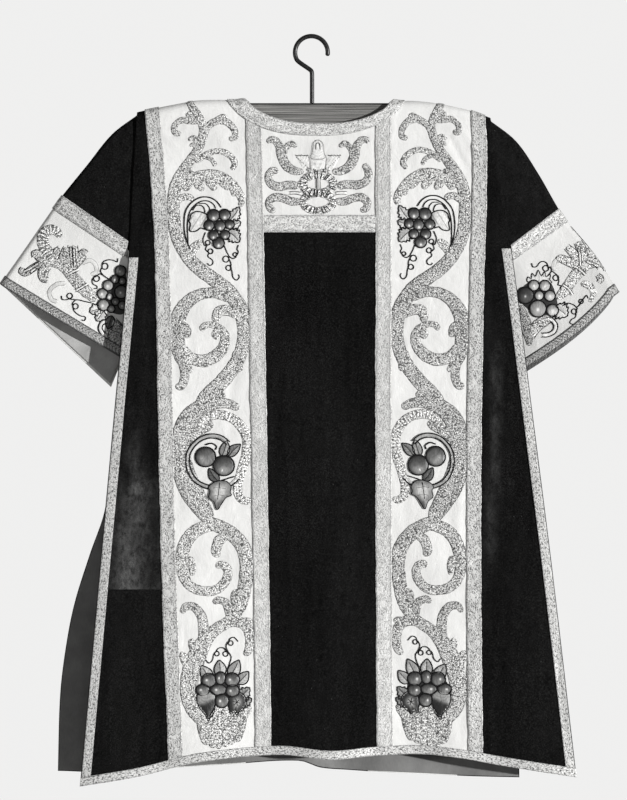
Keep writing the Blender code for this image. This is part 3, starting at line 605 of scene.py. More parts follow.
def galloon_material(name, width, light, contrast, period, leafy=False, plain=False):
    """Metallic braid: a vine of short floats on a ribbed ground, between corded selvages. u crosses it, v runs along it."""
    n = Nodes(name)
    flat = n.flat()
    split = n.node("ShaderNodeSeparateXYZ")
    n.link(flat, split.inputs[0])
    u = n.math("MULTIPLY", split.outputs["X"], 1000.0)
    v = n.math("MULTIPLY", split.outputs["Y"], 1000.0)
    turned = n.node("ShaderNodeCombineXYZ")
    n.link(u, turned.inputs[0])
    n.link(v, turned.inputs[1])
    braid = turned.outputs[0]
    sway = n.math("MULTIPLY", n.math("SUBTRACT", n.noise(n.place, 75, 2), 0.5), 0.55 * width)
    phase = n.math("MULTIPLY", v, 2 * math.pi / period)
    vine = n.math("ADD", n.math("SUBTRACT", u, n.math("MULTIPLY", n.math("SINE", phase), 0.21 * width)), sway)
    leaves = n.noise(n.scaled(braid, (0.16, 0.10, 1.0)), 1.0, 2.0, 0.6, 0.6)
    leaf = n.ramp(leaves, 0.53, 0.60)
    stem = n.math("MULTIPLY", n.ramp(n.math("ABSOLUTE", vine), 0.02 * width, 0.09 * width, 1.0, 0.0), 0.75)
    figure = n.math("MULTIPLY", n.math("MAXIMUM", stem, leaf), 0.25 if plain else 1.0)
    floats = n.noise(n.scaled(braid, (0.44, 0.28, 1.0) if plain else (0.62, 0.34, 1.0)), 1.0, 2.0, 0.6, 0.4)
    floats = n.ramp(floats, 0.49, 0.60)
    specks = n.ramp(n.cells(n.scaled(braid, (0.66, 0.50, 1.0)), 1.0), 0.35, 0.80)
    wear = n.noise(n.place, 30, 3, 0.6)
    rim = n.ramp(n.math("ABSOLUTE", n.math("SUBTRACT", leaves, 0.53)), 0.004, 0.022, 1.0, 0.0)
    mixed = n.math("ADD", n.math("MULTIPLY", floats, 0.66), n.math("MULTIPLY", specks, 0.34))
    mixed = n.math("MULTIPLY", mixed, n.math("SUBTRACT", 1.0, n.math("MULTIPLY", figure, 0.80)))
    mixed = n.math("ADD", mixed, n.math("MULTIPLY", rim, 0.0 if plain else 0.42), clamp=True)
    if leafy:
        slant = n.math("ADD", v, n.math("MULTIPLY", n.math("ABSOLUTE", u), 0.9))
        slant = n.math("ADD", slant, n.math("MULTIPLY", n.math("SUBTRACT", n.noise(n.place, 90, 3), 0.5), 9.0))
        veins = n.ramp(n.math("ABSOLUTE", n.math("SINE", n.math("MULTIPLY", slant, math.pi / 6.0))), 0.15, 0.60, 1.0, 0.0)
        mixed = n.math("ADD", n.math("MULTIPLY", veins, 0.50), n.math("MULTIPLY", n.math("ADD", specks, floats), 0.42), clamp=True)
    # Dark lines just inside both borders: partly the corded selvages, partly painted shadow along the braid's edges.
    edge = n.ramp(n.math("ABSOLUTE", u), 0.39 * width, 0.43 * width)
    line = n.math("MULTIPLY", edge, n.ramp(n.math("ABSOLUTE", u), 0.455 * width, 0.485 * width, 1.0, 0.0))
    if leafy:
        line = n.ramp(n.math("ABSOLUTE", u), 0.35 * width, 0.39 * width)
    shade = n.colour(mixed, [(0.0, light * 1.12), (0.16, light), (0.42, light * (1 - 0.46 * contrast)), (0.92, light * (1 - contrast))])
    cloud = n.colour(wear, [(0.3, 0.82), (0.7, 1.0)])
    dark = n.node("ShaderNodeRGB")
    dark.outputs[0].default_value = (*warm(light * (0.10 if leafy else 0.34)), 1)
    colour = n.blend(n.times(shade, cloud), dark.outputs[0], n.math("MULTIPLY", line, 0.9 if leafy else 0.62))
    rib = n.wave(braid, 0.42, "Y", 1.2, 2.0)
    n.bump([(figure, 0.30, 0.0005), (mixed, 0.5, -0.0007), (rib, 0.3, 0.0003)])
    return n.finish(colour, n.ramp(specks, 0.0, 1.0, 0.34, 0.56), 0.10, 0.04, 0.5, 0.5)


def purl_material():
    """Coiled metal thread laid in short curls: pale grains with dark lines and pits between them."""
    n = Nodes("purl_thread")
    curls = n.noise(n.place, 465, 1.0, 0.5, 0.4)
    lines = n.ramp(n.math("ABSOLUTE", n.math("SUBTRACT", curls, 0.5)), 0.0, 0.085, 1.0, 0.0)
    pits = n.ramp(n.cells(n.place, 450), 0.38, 0.76)
    mixed = n.math("ADD", n.math("MULTIPLY", lines, 0.60), n.math("MULTIPLY", pits, 0.66), clamp=True)
    shade = n.colour(mixed, [(0.0, 0.92), (0.27, 0.64), (0.58, 0.22), (1.0, 0.04)])
    tint = n.colour(n.tone(), [(0.0, 0.20), (0.5, 0.80), (1.0, 1.3)])
    n.bump([(mixed, 0.6, -0.0011)])
    return n.finish(n.times(shade, tint), 0.42, 0.15, 0.0, 0.5, 0.5)


def floss_material():
    """Shaded silk floss in fine stitches."""
    n = Nodes("shaded_floss")
    stitch = n.noise(n.scaled(n.place, (900, 900, 240)), 1.0, 2, 0.6)
    colour = n.colour(n.tone(), [(0.0, 0.006), (0.25, 0.035), (0.5, 0.12), (0.75, 0.34), (1.0, 0.78)])
    n.bump([(stitch, 0.55, 0.0005)])
    return n.finish(n.times(colour, n.colour(stitch, [(0.3, 0.68), (0.65, 1.0)])), 0.42, 0.0, 0.10, 0.4, 0.5)


def outline_material():
    n = Nodes("outline_cord")
    twist = n.wave(n.scaled(n.place, (1, 1, 1)), 420, "DIAGONAL", 2.0, 2.0)
    n.bump([(twist, 0.5, 0.0004)])
    return n.finish(n.colour(twist, [(0.2, 0.003), (0.9, 0.010)]), 0.75, 0.0, 0.0, 0.4, 0.15)


def lining_material():
    n = Nodes("grey_lining")
    flat = n.flat()
    weave = n.noise(n.scaled(flat, (1300, 120, 1)), 1.0, 2, 0.5)
    soft = n.noise(n.place, 22, 4, 0.6)
    crease = n.noise(n.scaled(n.place, (1, 1, 0.5)), 30, 3, 0.6, 0.5)
    n.bump([(crease, 0.4, 0.003), (weave, 0.2, 0.0003)])
    return n.finish(n.times(n.colour(soft, [(0.3, 0.115), (0.7, 0.18)]), n.colour(weave, [(0.3, 0.85), (0.7, 1.0)])), 0.72, 0.0, 0.12, 0.5, 0.25)


def pale_lining_material():
    n = Nodes("sleeve_lining")
    flat = n.flat()
    weave = n.noise(n.scaled(flat, (1300, 120, 1)), 1.0, 2, 0.5)
    soft = n.noise(n.place, 26, 4, 0.6)
    crease = n.noise(n.place, 48, 3, 0.6, 0.8)
    n.bump([(crease, 0.4, 0.0022), (weave, 0.2, 0.0003)])
    return n.finish(n.times(n.colour(soft, [(0.3, 0.27), (0.7, 0.40)]), n.colour(weave, [(0.3, 0.88), (0.7, 1.0)])), 0.66, 0.0, 0.12, 0.5, 0.3)


def wood_material():
    n = Nodes("planed_wood")
    bent = n.noise(n.scaled(n.place, (3, 12, 12)), 1.0, 3, 0.6)
    rings = n.wave(n.scaled(n.place, (2.5, 30, 150)), 1.0, "Z", 7.0, 1.6)
    fibre = n.noise(n.scaled(n.place, (12, 500, 700)), 1.0, 4, 0.7)
    base = n.colour(n.math("ADD", n.math("MULTIPLY", rings, 0.7), n.math("MULTIPLY", bent, 0.3)),
                    [(0.15, (0.055, 0.054, 0.052)), (0.5, (0.15, 0.148, 0.143)), (0.85, (0.30, 0.296, 0.287))])
    split = n.node("ShaderNodeSeparateXYZ")
    n.link(n.place, split.inputs[0])
    # The bar is painted much darker along its top 1.2 mm.
    top = n.ramp(split.outputs["Z"], -0.1042, -0.1030, 1.0, 0.06)
    n.bump([(fibre, 0.4, 0.0006), (rings, 0.15, 0.0006)])
    return n.finish(n.times(n.times(base, n.colour(fibre, [(0.3, 0.55), (0.65, 1.0)])), top), 0.6, 0.0, 0.0, 0.5, 0.3)


def iron_material():
    n = Nodes("dark_wire")
    patina = n.noise(n.place, 240, 4, 0.6)
    n.bump([(patina, 0.25, 0.0004)])
    return n.finish(n.colour(patina, [(0.35, 0.006), (0.7, 0.022)]), n.ramp(patina, 0.3, 0.7, 0.30, 0.5), 0.35, 0.0, 0.5, 0.5)


VELVET, SILK, LINING_CLOTH, SLEEVE_LINING = velvet_material(), silk_material(), lining_material(), pale_lining_material()
# The cuffs are the same silk: the left copy is painted a little lighter and the right copy darker, and greyer still
# towards its fold, as painted light and shade for how the lamps fall on them.
CUFF_SILK = {"l": silk_material("ivory_silk_cuff_l", 1.03), "r": silk_material("ivory_silk_cuff_r", 0.86, (0.375, 0.452))}
PURL, FLOSS, OUTLINE, WOOD, IRON = purl_material(), floss_material(), outline_material(), wood_material(), iron_material()
BRAID_OUTER = galloon_material("galloon_outer", OUTER_GALLOON, 0.55, 0.90, 31.0)
BRAID_INNER = galloon_material("galloon_inner", INNER_GALLOON, 0.56, 0.54, 38.0)
BRAID_WIDE = galloon_material("galloon_wide", 25.0, 0.68, 0.60, 44.0)
BRAID_NARROW = galloon_material("galloon_narrow", EDGE_GALLOON, 0.54, 0.86, 18.0, False, True)


def vine_relief(width, period, height):
    def raised(across, along):
        phase = along * 2 * math.pi / period
        stem = np.exp(-((across - 0.20 * width * np.sin(phase)) / (0.07 * width)) ** 2)
        leaf = np.abs(np.sin(3 * phase) * np.sin(across * 2 * math.pi / (0.46 * width)))
        selvage = np.exp(-((np.abs(across) - 0.455 * width) / (0.035 * width)) ** 2)
        rough = noise(across / 2.2, along / 2.2, 5)
        return height * (0.6 * stem + 0.5 * leaf + 0.7 * selvage + 0.35 * rough)
    return raised


# ---------------------------------------------------------------- front and back
def rubbed(x, drop):
    """Where the pile is worn: a soft streak down the left side panel, and less on the right one."""
    middle = np.interp(drop, [560, 646, 682, 735, 809, 856], [-262, -277, -268, -276, -283, -287])
    wide = np.interp(drop, [560, 680, 720, 856], [7, 9, 19, 20])
    left = np.exp(-((x - middle) / wide) ** 2) * ease((drop - 560) / 150)
    spots = 0.5 + 0.5 * noise(x / 9, drop / 24, 63)
    left = 0.88 * left * (0.45 + 0.55 * spots) + 0.34 * (x < -230) * ease((drop - 640) / 90) * spots
    middle = np.interp(drop, [520, 620, 735, 812], [284, 284, 277, 277])
    right = 0.46 * np.exp(-((x - middle) / 7.5) ** 2) * ease((drop - 430) / 120) * ease((830 - drop) / 60) * (0.3 + 0.7 * spots)
    return np.clip(left + right + 0.05 * spots, 0, 1)


def barely(x, drop):
    return 0.05 * (0.5 + 0.5 * noise(x / 60, drop / 130, 71))


def build_half(half, tag, front):
    on, lay = (-CLOTH / 2, CLOTH / 2), (CLOTH / 2 + LAY_GAP, CLOTH / 2 + LAY_GAP + GALLOON)
    g = 0.03
    L = half.lines
    lo2, li2 = (lambda d: L["l_out"](d) + OUTER_GALLOON / 2), (lambda d: L["l_in"](d) - INNER_GALLOON / 2)
    ri2, ro2 = (lambda d: L["r_in"](d) + INNER_GALLOON / 2), (lambda d: L["r_out"](d) - OUTER_GALLOON / 2)

    def moved(line, by):
        return lambda d: line(d) + by

    left, right, hem, neck = half.trim("l", False), half.trim("r", False), half.hem_line(), half.neck
    low_hem = half.hem_line(HEM_GALLOON + g)
    if front:
        seam = half.drop_line(SIDE_SEAM)
        up, down = half.drop_line(SIDE_SEAM + 0.5), half.drop_line(SIDE_SEAM - 0.5)  # lapped a hair, so the seam lets no light through
        panel("front_side_upper_l", half, left, moved(lo2, -g), neck, up, 4.5, (60, 690), on, VELVET, tone=rubbed)
        panel("front_side_upper_r", half, moved(ro2, g), right, neck, up, 4.5, (60, 690), on, VELVET, tone=rubbed)
        panel("front_side_lower_l", half, left, moved(lo2, -g), down, hem, 4.5, (120, 350), on, VELVET, tone=barely)
        panel("front_side_lower_r", half, moved(ro2, g), right, down, hem, 4.5, (140, 340), on, VELVET, tone=barely)
        panel("front_apron", half, moved(li2, g), moved(ri2, -g), neck, half.drop_line(288.5 - g), 3.0, (198, 160), on, SILK)
        panel("front_centre", half, moved(li2, g), moved(ri2, -g), half.drop_line(288.5 + g), hem, 4.5, (190, 830), on, VELVET, tone=barely)
    else:
        panel("back_side_l", half, left, moved(lo2, -g), neck, hem, 6.0, (90, 1030), on, VELVET, tone=barely)
        panel("back_side_r", half, moved(ro2, g), right, neck, hem, 6.0, (80, 1030), on, VELVET, tone=barely)
        panel("back_centre", half, moved(li2, g), moved(ri2, -g), neck, hem, 6.0, (190, 1000), on, VELVET, tone=barely)
    fine = 3.0 if front else 5.0
    panel(f"{tag}_orphrey_l", half, moved(lo2, g), moved(li2, -g), neck, hem, fine, (150, 1010), on, SILK)
    panel(f"{tag}_orphrey_r", half, moved(ri2, g), moved(ro2, -g), neck, hem, fine, (150, 1010), on, SILK)

    braid = 1.9 if front else 3.2

    def lower(name, x):
        return neck_s(x, COLLAR_X, COLLAR_HALF, half.collar_deep) - 12

    def start(x):
        return np.maximum(half.neck(x) + 10, lower("", x))

    outer = vine_relief(OUTER_GALLOON, 31.0, 0.35)
    inner = vine_relief(INNER_GALLOON, 38.0, 0.28)
    narrow = vine_relief(EDGE_GALLOON, 18.0, 0.3)

    def wobbly(line, seed):
        return lambda d: line(d) + 0.55 * noise(d / 17, np.full_like(d, seed), 9) + 0.3 * noise(d / 6, np.full_like(d, seed), 10)

    panel(f"{tag}_galloon_l_outer", half, wobbly(L["l_out"], 1), wobbly(moved(L["l_out"], OUTER_GALLOON), 2), neck, low_hem, braid, (23, 1010), lay,
          BRAID_OUTER, outer)
    panel(f"{tag}_galloon_r_outer", half, wobbly(moved(L["r_out"], -OUTER_GALLOON), 3), wobbly(L["r_out"], 4), neck, low_hem, braid, (23, 1010), lay,
          BRAID_OUTER, outer)
    panel(f"{tag}_galloon_l_inner", half, wobbly(moved(L["l_in"], -INNER_GALLOON), 5), wobbly(L["l_in"], 6), start, low_hem, braid, (25, 980), lay,
          BRAID_INNER, inner)
    panel(f"{tag}_galloon_r_inner", half, wobbly(L["r_in"], 7), wobbly(moved(L["r_in"], INNER_GALLOON), 8), start, low_hem, braid, (25, 980), lay,
          BRAID_INNER, inner)
    if front:
        panel("front_galloon_apron", half, moved(L["l_in"], g), moved(L["r_in"], -g), half.drop_line(APRON_TOP), half.drop_line(APRON_END), 1.9,
              (172, 27), lay, BRAID_WIDE_CROSS, None)
    slit_l, slit_r = half.drop_line(SLIT), half.drop_line(SLIT - 14 if front else SLIT)
    panel(f"{tag}_galloon_edge_l", half, moved(half.trim("l", False), 1.2), half.trim("l", True), slit_l, low_hem, 1.9 if front else 3.2, (15.5, 800), lay,
          BRAID_NARROW, narrow)
    panel(f"{tag}_galloon_edge_r", half, half.trim("r", True), moved(half.trim("r", False), -1.2), slit_r, low_hem, 1.9 if front else 3.2, (15.5, 800), lay,
          BRAID_NARROW, narrow)
    hem_piece = panel(f"{tag}_galloon_hem", half, left, right, half.hem_line(HEM_GALLOON), hem, 2.0, (760, 14), lay, BRAID_HEM, None)
    return hem_piece


def turned_galloon(name, light, contrast, width, period, leafy=False, plain=False):
    """The same braid for a band that runs across: its flat coordinates are exchanged."""
    made = galloon_material(name, width, light, contrast, period, leafy, plain)
    tree = made.node_tree
    for node in tree.nodes:
        if node.type == "SEPXYZ":
            x = [link.to_socket for link in tree.links if link.from_socket == node.outputs["X"]]
            y = [link.to_socket for link in tree.links if link.from_socket == node.outputs["Y"]]
            middle = tree.nodes.new("ShaderNodeMath")
            middle.operation, middle.inputs[1].default_value = "SUBTRACT", width / 2 * MM
            tree.links.new(node.outputs["Y"], middle.inputs[0])
            for socket in x:
                tree.links.new(middle.outputs[0], socket)
            for socket in y:
                tree.links.new(node.outputs["X"], socket)
            break
    return made


BRAID_WIDE_CROSS = turned_galloon("galloon_wide_cross", 0.62, 0.80, 27.0, 46.0)
BRAID_HEM = turned_galloon("galloon_hem", 0.56, 0.92, HEM_GALLOON, 18.0, False, True)
BRAID_NECK = turned_galloon("galloon_neck", 0.62, 0.80, 20.0, 40.0)


def build_neck():
    for tag, half in (("front", FRONT), ("back", BACK)):
        low = COLLAR_X - COLLAR_HALF + 1.5
        turn = np.linspace(0, math.pi, 140 if tag == "front" else 80)
        x = COLLAR_X - (COLLAR_HALF - 1.5) * np.cos(turn)
        inner = half.neck(x)
        outer = np.maximum(neck_s(x, COLLAR_X, COLLAR_HALF, half.collar_deep), inner + 3)
        share = spread(20, 1.9)[:, None]
        xs = np.broadcast_to(x, (share.size, x.size))
        s = inner * (1 - share) + outer * share
        grid, normal = half.at(xs, s), half.normal(xs, s)
        across, along = lengths(grid)
        raised = vine_relief(20.0, 40.0, 0.4)((along - 0.010) / MM, across / MM)
        face = CLOTH / 2 + 0.7 + (NECK_LAY_GAP - 0.7) * ease((x + 121) / 15) * ease((140 - x) / 14)
        cloth(f"neck_galloon_{tag}_fine", f"neck_galloon_{tag}", grid, normal, face - 0.6, face + GALLOON - 0.6, BRAID_NECK, raised)


def build_linings():
    half = BACK
    face = -CLOTH / 2 - LINING_GAP
    left, right = half.trim("l", False), half.trim("r", False)

    def inset(d):
        return np.interp(d, [600, 700], [7.5, 1.5])

    panel("lining_back", half, lambda d: left(d) + inset(d), lambda d: right(d) - inset(d), half.drop_line(APRON_TOP), half.hem_line(1.5), 6.0,
          (640, 860), (face - LINING, face), LINING_CLOTH, None)


# ---------------------------------------------------------------- sleeves
class Sleeve:
    """One width of cloth folded over the arm. q runs along the fold from the armhole to the cuff, in millimetres;
    k runs round: 0 at the front's lower end, 1 to 2 over the fold, 3 at the back's lower end."""

    def __init__(self, rows, seed):
        tuck = CLOTH + TUCK_GAP
        full = []
        for r in rows.values():
            front = r.front_y if r.front_y is not None else float(-FRONT.depth(np.array(float(r.front_x)), np.array(float(r.front_drop))) + tuck)
            back = r.back_y if r.back_y is not None else float(BACK.depth(np.array(float(r.back_x)), np.array(float(r.back_drop))) - tuck)
            full.append(r._replace(front_y=front, back_y=back))
        q = [0.0]
        for a, b in zip(full, full[1:]):
            q.append(q[-1] + math.hypot(b.fold_x - a.fold_x, b.fold_drop - a.fold_drop))
        self.q = dict(zip(rows, q))
        self.curves = {c: Curve(q, [getattr(r, c) for r in full]) for c in Row._fields}
        self.seed = seed

    def at(self, q, k):
        q, k = np.broadcast_arrays(np.asarray(q, float), np.asarray(k, float))
        c = {name: curve(q) for name, curve in self.curves.items()}
        fold = np.stack([c["fold_x"], -c["fold_drop"]], -1)
        front = np.stack([c["front_x"], -c["front_drop"]], -1)
        back = np.stack([c["back_x"], -c["back_drop"]], -1)
        to_front, to_back = front - fold, back - fold
        to_front = to_front / np.linalg.norm(to_front, axis=-1, keepdims=True)
        to_back = to_back / np.linalg.norm(to_back, axis=-1, keepdims=True)
        outward = -(to_front + to_back)
        outward /= np.linalg.norm(outward, axis=-1, keepdims=True)
        r = c["fold_r"]
        centre = fold - outward * (r + CLOTH / 2)[..., None]
        share_f, share_b = np.clip(1 - k, 0, 1), np.clip(k - 2, 0, 1)
        angle = np.radians(-90 + 180 * np.clip(k - 1, 0, 1))
        p = centre + (front - centre) * share_f[..., None] + (back - centre) * share_b[..., None]
        p = p + outward * (r * np.cos(angle))[..., None]
        for end, share in ((front, share_f), (back, share_b)):
            way = (end - centre) / np.linalg.norm(end - centre, axis=-1, keepdims=True)
            away = np.stack([-way[..., 1], way[..., 0]], -1) * np.where(way[..., :1] > 0, -1, 1)
            p = p + away * (c["bow"] * np.sin(math.pi * share ** 0.75))[..., None]
        y = np.where(k <= 1, -r + (c["front_y"] + r) * share_f ** 1.2 - c["swell"] * np.sin(math.pi * share_f),
                     np.where(k >= 2, r + (c["back_y"] - r) * share_b ** 1.2 + 0.5 * c["swell"] * np.sin(math.pi * share_b), r * np.sin(angle)))
        free = ease((q - 30) / 60)
        soft = free * (0.8 * noise(q / 55, k * 2.1, self.seed) + 0.35 * noise(q / 19, k * 5.3, self.seed + 1))
        hanging = np.minimum(share_f + share_b, 1)
        y = y + soft * ease(hanging / 0.2) * np.where(k < 1.5, -1, 1) * (1 - 0.6 * hanging)
        return np.stack([p[..., 0], y, p[..., 1]], -1)

    def normal(self, q, k):
        along = self.at(q + 0.6, k) - self.at(q - 0.6, k)
        round_ = self.at(q, k + 0.004) - self.at(q, k - 0.004)
        n = np.cross(along, round_)
        n /= np.linalg.norm(n, axis=-1, keepdims=True)
        return n * self.outward

    def ready(self):
        self.outward = 1.0
        test = self.normal(np.array([self.q["cuff_mid"]]), np.array([0.5]))
        self.outward = 1.0 if test[0, 1] < 0 else -1.0
        return self

    def find(self, x, z):
        """q and k of the front's point that is seen at x, z."""
        q, k = np.full(x.shape, self.q["cuff_mid"]), np.full(x.shape, 0.5)
        for _ in range(12):
            p, pq, pk = self.at(q, k), self.at(q + 0.5, k), self.at(q, k + 0.002)
            ex, ez = x - p[..., 0], z - p[..., 2]
            a, b = (pq[..., 0] - p[..., 0]) / 0.5, (pk[..., 0] - p[..., 0]) / 0.002
            c, d = (pq[..., 2] - p[..., 2]) / 0.5, (pk[..., 2] - p[..., 2]) / 0.002
            det = a * d - b * c
            q = np.clip(q + np.clip((ex * d - ez * b) / det, -60, 60), 1, self.q["cuff"] - 0.5)
            k = np.clip(k + np.clip((a * ez - c * ex) / det, -0.3, 0.3), 0.005, 1.35)
        return q, k


LEFT, RIGHT = Sleeve(LEFT_SLEEVE, 41).ready(), Sleeve(RIGHT_SLEEVE, 53).ready()
ROUND = np.concatenate([[0, 0.003, 0.008], np.linspace(0.02, 1, 34)[:-1], np.linspace(1, 2, 12)[:-1], np.linspace(2, 2.98, 34), [2.992, 2.997, 3.0]])


def build_sleeve(tag, sleeve):
    q = sleeve.q
    seam = (q["band_top"] + q["band_end"]) / 2
    half = CLOTH / 2

    def piece(name, q0, q1, ks, inner, outer, material, relief=None, pitch=4.5, tone=None):
        qs = q0 + (q1 - q0) * spread(q1 - q0, pitch)
        qq, kk = np.meshgrid(qs, ks, indexing="ij")
        grid, normal = sleeve.at(qq, kk), sleeve.normal(qq, kk)
        raised = 0.0
        if relief:
            across, along = lengths(grid)
            raised = relief(along / MM - (q1 - q0) / 2, across / MM)
        marked = None if tone is None else np.full(qq.shape, tone)
        return cloth(name + "_fine", name, grid, normal, inner, outer, material, raised, marked)

    piece(f"sleeve_{tag}", 0.0, seam - 0.2, ROUND, -half, half, VELVET, tone=0.05)
    piece(f"cuff_{tag}", seam + 0.2, q["cuff"], ROUND, -half, half, CUFF_SILK[tag], pitch=3.5)
    lay = half + LAY_GAP
    dense = np.concatenate([[0, 0.003, 0.008], np.linspace(0.012, 1, 86)[:-1], np.linspace(1, 2, 12)[:-1], np.linspace(2, 2.988, 62), [2.992, 2.997, 3.0]])
    trimmed = 0.045 + dense * (2.955 - 0.045) / 3
    width = q["band_end"] - q["band_top"]
    piece(f"sleeve_galloon_{tag}", q["band_top"], q["band_end"], trimmed, lay, lay + GALLOON, SLEEVE_BRAID,
          vine_relief(width, 44.0, 0.4), 1.9)
    piece(f"cuff_galloon_{tag}", q["cuff"] - EDGE_GALLOON, q["cuff"], dense, lay, lay + GALLOON, CUFF_BRAID,
          vine_relief(EDGE_GALLOON, 18.0, 0.35), 1.6)
    low = -half - LINING_GAP
    back = np.concatenate([[2.0, 2.003, 2.008], np.linspace(2.03, 2.97, 36), [2.978, 2.982, 2.986]])
    piece(f"lining_sleeve_{tag}", q["middle"], q["cuff"] - 3, back, low - LINING, low, SLEEVE_LINING, None)


SLEEVE_BRAID = turned_galloon("galloon_sleeve", 0.60, 0.92, 25.0, 44.0)
CUFF_BRAID = turned_galloon("galloon_cuff", 0.42, 0.95, EDGE_GALLOON, 18.0, True)


# ---------------------------------------------------------------- embroidery
class Work:
    """Gathers strokes of one kind of stitching into a mesh."""

    def __init__(self, place):
        self.place, self.points, self.faces, self.tones, self.count = place, [], [], [], 0

    def put(self, px, py, height, tone, faces):
        p, n = self.place(np.asarray(px, float), np.asarray(py, float))
        self.points.append(p + n * np.asarray(height, float)[..., None])
        self.tones.append(np.broadcast_to(tone, p.shape[:-1]).astype(float))
        self.faces.append([tuple(int(i) + self.count for i in f) for f in faces])
        self.count += len(p)

    def build(self, name, material, slot, smooth=0):
        quads = [f for group in self.faces for f in group]
        mesh = mesh_of(name, np.concatenate(self.points), quads, None, np.concatenate(self.tones), smooth)
        return add(name, mesh, material)


def smooth_path(table, step, closed=False):
    """Points along a smooth line through the table's rows, all columns carried along."""
    t = np.array(table, float)
    if closed:
        t = np.concatenate([t[-2:], t, t[:3]])
    else:
        t = np.concatenate([2 * t[:1] - t[1:2], t, 2 * t[-1:] - t[-2:-1]])
        if t.shape[1] > 2:
            t[0, 2:], t[-1, 2:] = t[1, 2:], t[-2, 2:]
    out = []
    first, last = (2, len(t) - 3) if closed else (1, len(t) - 2)
    for i in range(first, last):
        a, b, c, d = t[i - 1], t[i], t[i + 1], t[i + 2]
        u = np.linspace(0, 1, 24, endpoint=False)[:, None]
        out.append(0.5 * (2 * b + (c - a) * u + (2 * a - 5 * b + 4 * c - d) * u ** 2 + (3 * b - a - 3 * c + d) * u ** 3))
    out.append(t[last][None])
    line = np.concatenate(out)
    run = np.concatenate([[0], np.cumsum(np.hypot(*np.diff(line[:, :2], axis=0).T))])
    n = max(3, int(round(run[-1] / step)) + 1)
    at = np.linspace(0, run[-1], n)
    return np.stack([np.interp(at, run, line[:, c]) for c in range(line.shape[1])], 1), at


def stroke(work, table, rise=1.25, tone=0.5, rib=0.0, lobes=0.0, seed=0, step=0.92):
    """A raised band of laid thread: rows of (right, down, width) in chart squares."""
    line, run = smooth_path(table, step)
    n = len(line)
    way = np.gradient(line[:, :2], axis=0)
    way /= np.linalg.norm(way, axis=1, keepdims=True) + 1e-9
    side = np.stack([-way[:, 1], way[:, 0]], 1)
    wide = np.maximum(line[:, 2], 0.8) / 2
    end = np.minimum(run, run[-1] - run)
    wide = wide * np.sqrt(np.clip(1 - (1 - np.minimum(end / np.maximum(wide, 0.5), 1)) ** 2, 0.02, 1))
    if lobes:
        wide = wide * (1 + lobes * np.abs(np.sin(run * math.pi / 5.2)) - lobes / 2)
    cols = max(6, int(math.ceil(line[:, 2].max() / 0.90)) + 1)
    t = np.linspace(-1, 1, cols)
    px = line[:, 0:1] + side[:, 0:1] * wide[:, None] * t
    py = line[:, 1:2] + side[:, 1:2] * wide[:, None] * t
    edge_wobble = 0.30 * noise(px / 2.6, py / 2.6, 90 + seed)
    px, py = px + side[:, 0:1] * edge_wobble * np.abs(t), py + side[:, 1:2] * edge_wobble * np.abs(t)
    dome = np.sqrt(np.clip(1 - t ** 2, 0, 1)) ** 0.7
    full = np.minimum(wide / 2.4, 1)[:, None]
    height = CLOTH / 2 + rise * dome * full * (0.85 + 0.15 * noise(px / 6, py / 6, seed + 2))
    if rib:
        height = height + rib * np.sin(run[:, None] * 2 * math.pi / 3.3 + 1.1 * np.abs(t)) * dome * full
    grain = scatter(np.floor(px * 1.35 + 0.5), np.floor(py * 1.35 + 0.5), 7 + seed)
    height = height + 0.42 * (grain - 0.5) * dome * full * (0.35 if rib else 1.0)
    # Darker towards the stroke's edges in broken dots: partly the dark stitching along the edges, partly painted shade
    # where the dome falls away.
    rim = ease((np.abs(t) - 0.74) / 0.26) * (0.62 + 0.38 * (scatter(np.floor(px / 1.1), np.floor(py / 1.1), 19) > 0.45))
    # Along ribbed strokes the tone rises and falls in step with the ribs' height: painted light on the crests and
    # painted shade in the troughs.
    shade = tone - 0.40 * rim + 0.08 * noise(px / 5, py / 5, seed + 5) + ((0.62 if rib > 0.5 else 0.38 if rib > 0.3 else 0.9 * rib) * np.sin(run[:, None] * 2 * math.pi / 3.3 + 1.1 * np.abs(t)) if rib else 0)
    low = np.full((n, 2), CLOTH / 2 - 0.5)
    X = np.concatenate([px, px[:, -1:], px[:, :1]], 1)
    Y = np.concatenate([py, py[:, -1:], py[:, :1]], 1)
    H = np.concatenate([height, low], 1)
    T = np.concatenate([shade, shade[:, -1:], shade[:, :1]], 1)
    ring = cols + 2
    faces = []
    for i in range(n - 1):
        a = i * ring
        for j in range(ring):
            k = (j + 1) % ring
            faces.append((a + j, a + k, a + ring + k, a + ring + j))
    faces.append(tuple(range(ring - 1, -1, -1)))
    faces.append(tuple((n - 1) * ring + j for j in range(ring)))
    work.put(X.ravel(), Y.ravel(), H.ravel(), T.ravel(), faces)


def cord(work, table, radius=0.58, lift=0.45, tone=0.2, closed=False, step=0.72):
    """A laid cord: rows of (right, down), its radius in chart squares."""
    line, run = smooth_path([r[:2] for r in table], step, closed)
    if closed:
        line = line[:-1]
    n, sides = len(line), 5
    way = (np.roll(line, -1, 0) - np.roll(line, 1, 0)) if closed else np.gradient(line, axis=0)
    way /= np.linalg.norm(way, axis=1, keepdims=True) + 1e-9
    side = np.stack([-way[:, 1], way[:, 0]], 1)
    angles = np.linspace(0, 2 * math.pi, sides, endpoint=False)
    X = line[:, 0:1] + side[:, 0:1] * radius * np.cos(angles)
    Y = line[:, 1:2] + side[:, 1:2] * radius * np.cos(angles)
    H = CLOTH / 2 + lift + radius * SQUARE * np.broadcast_to(np.sin(angles), X.shape)
    faces = []
    for i in range(n if closed else n - 1):
        a, b = i * sides, ((i + 1) % n) * sides
        for j in range(sides):
            k = (j + 1) % sides
            faces.append((a + j, a + k, b + k, b + j))
    if not closed:
        faces.append(tuple(range(sides - 1, -1, -1)))
        faces.append(tuple((n - 1) * sides + j for j in range(sides)))
    work.put(X.ravel(), Y.ravel(), H.ravel(), np.full(X.size, tone), faces)


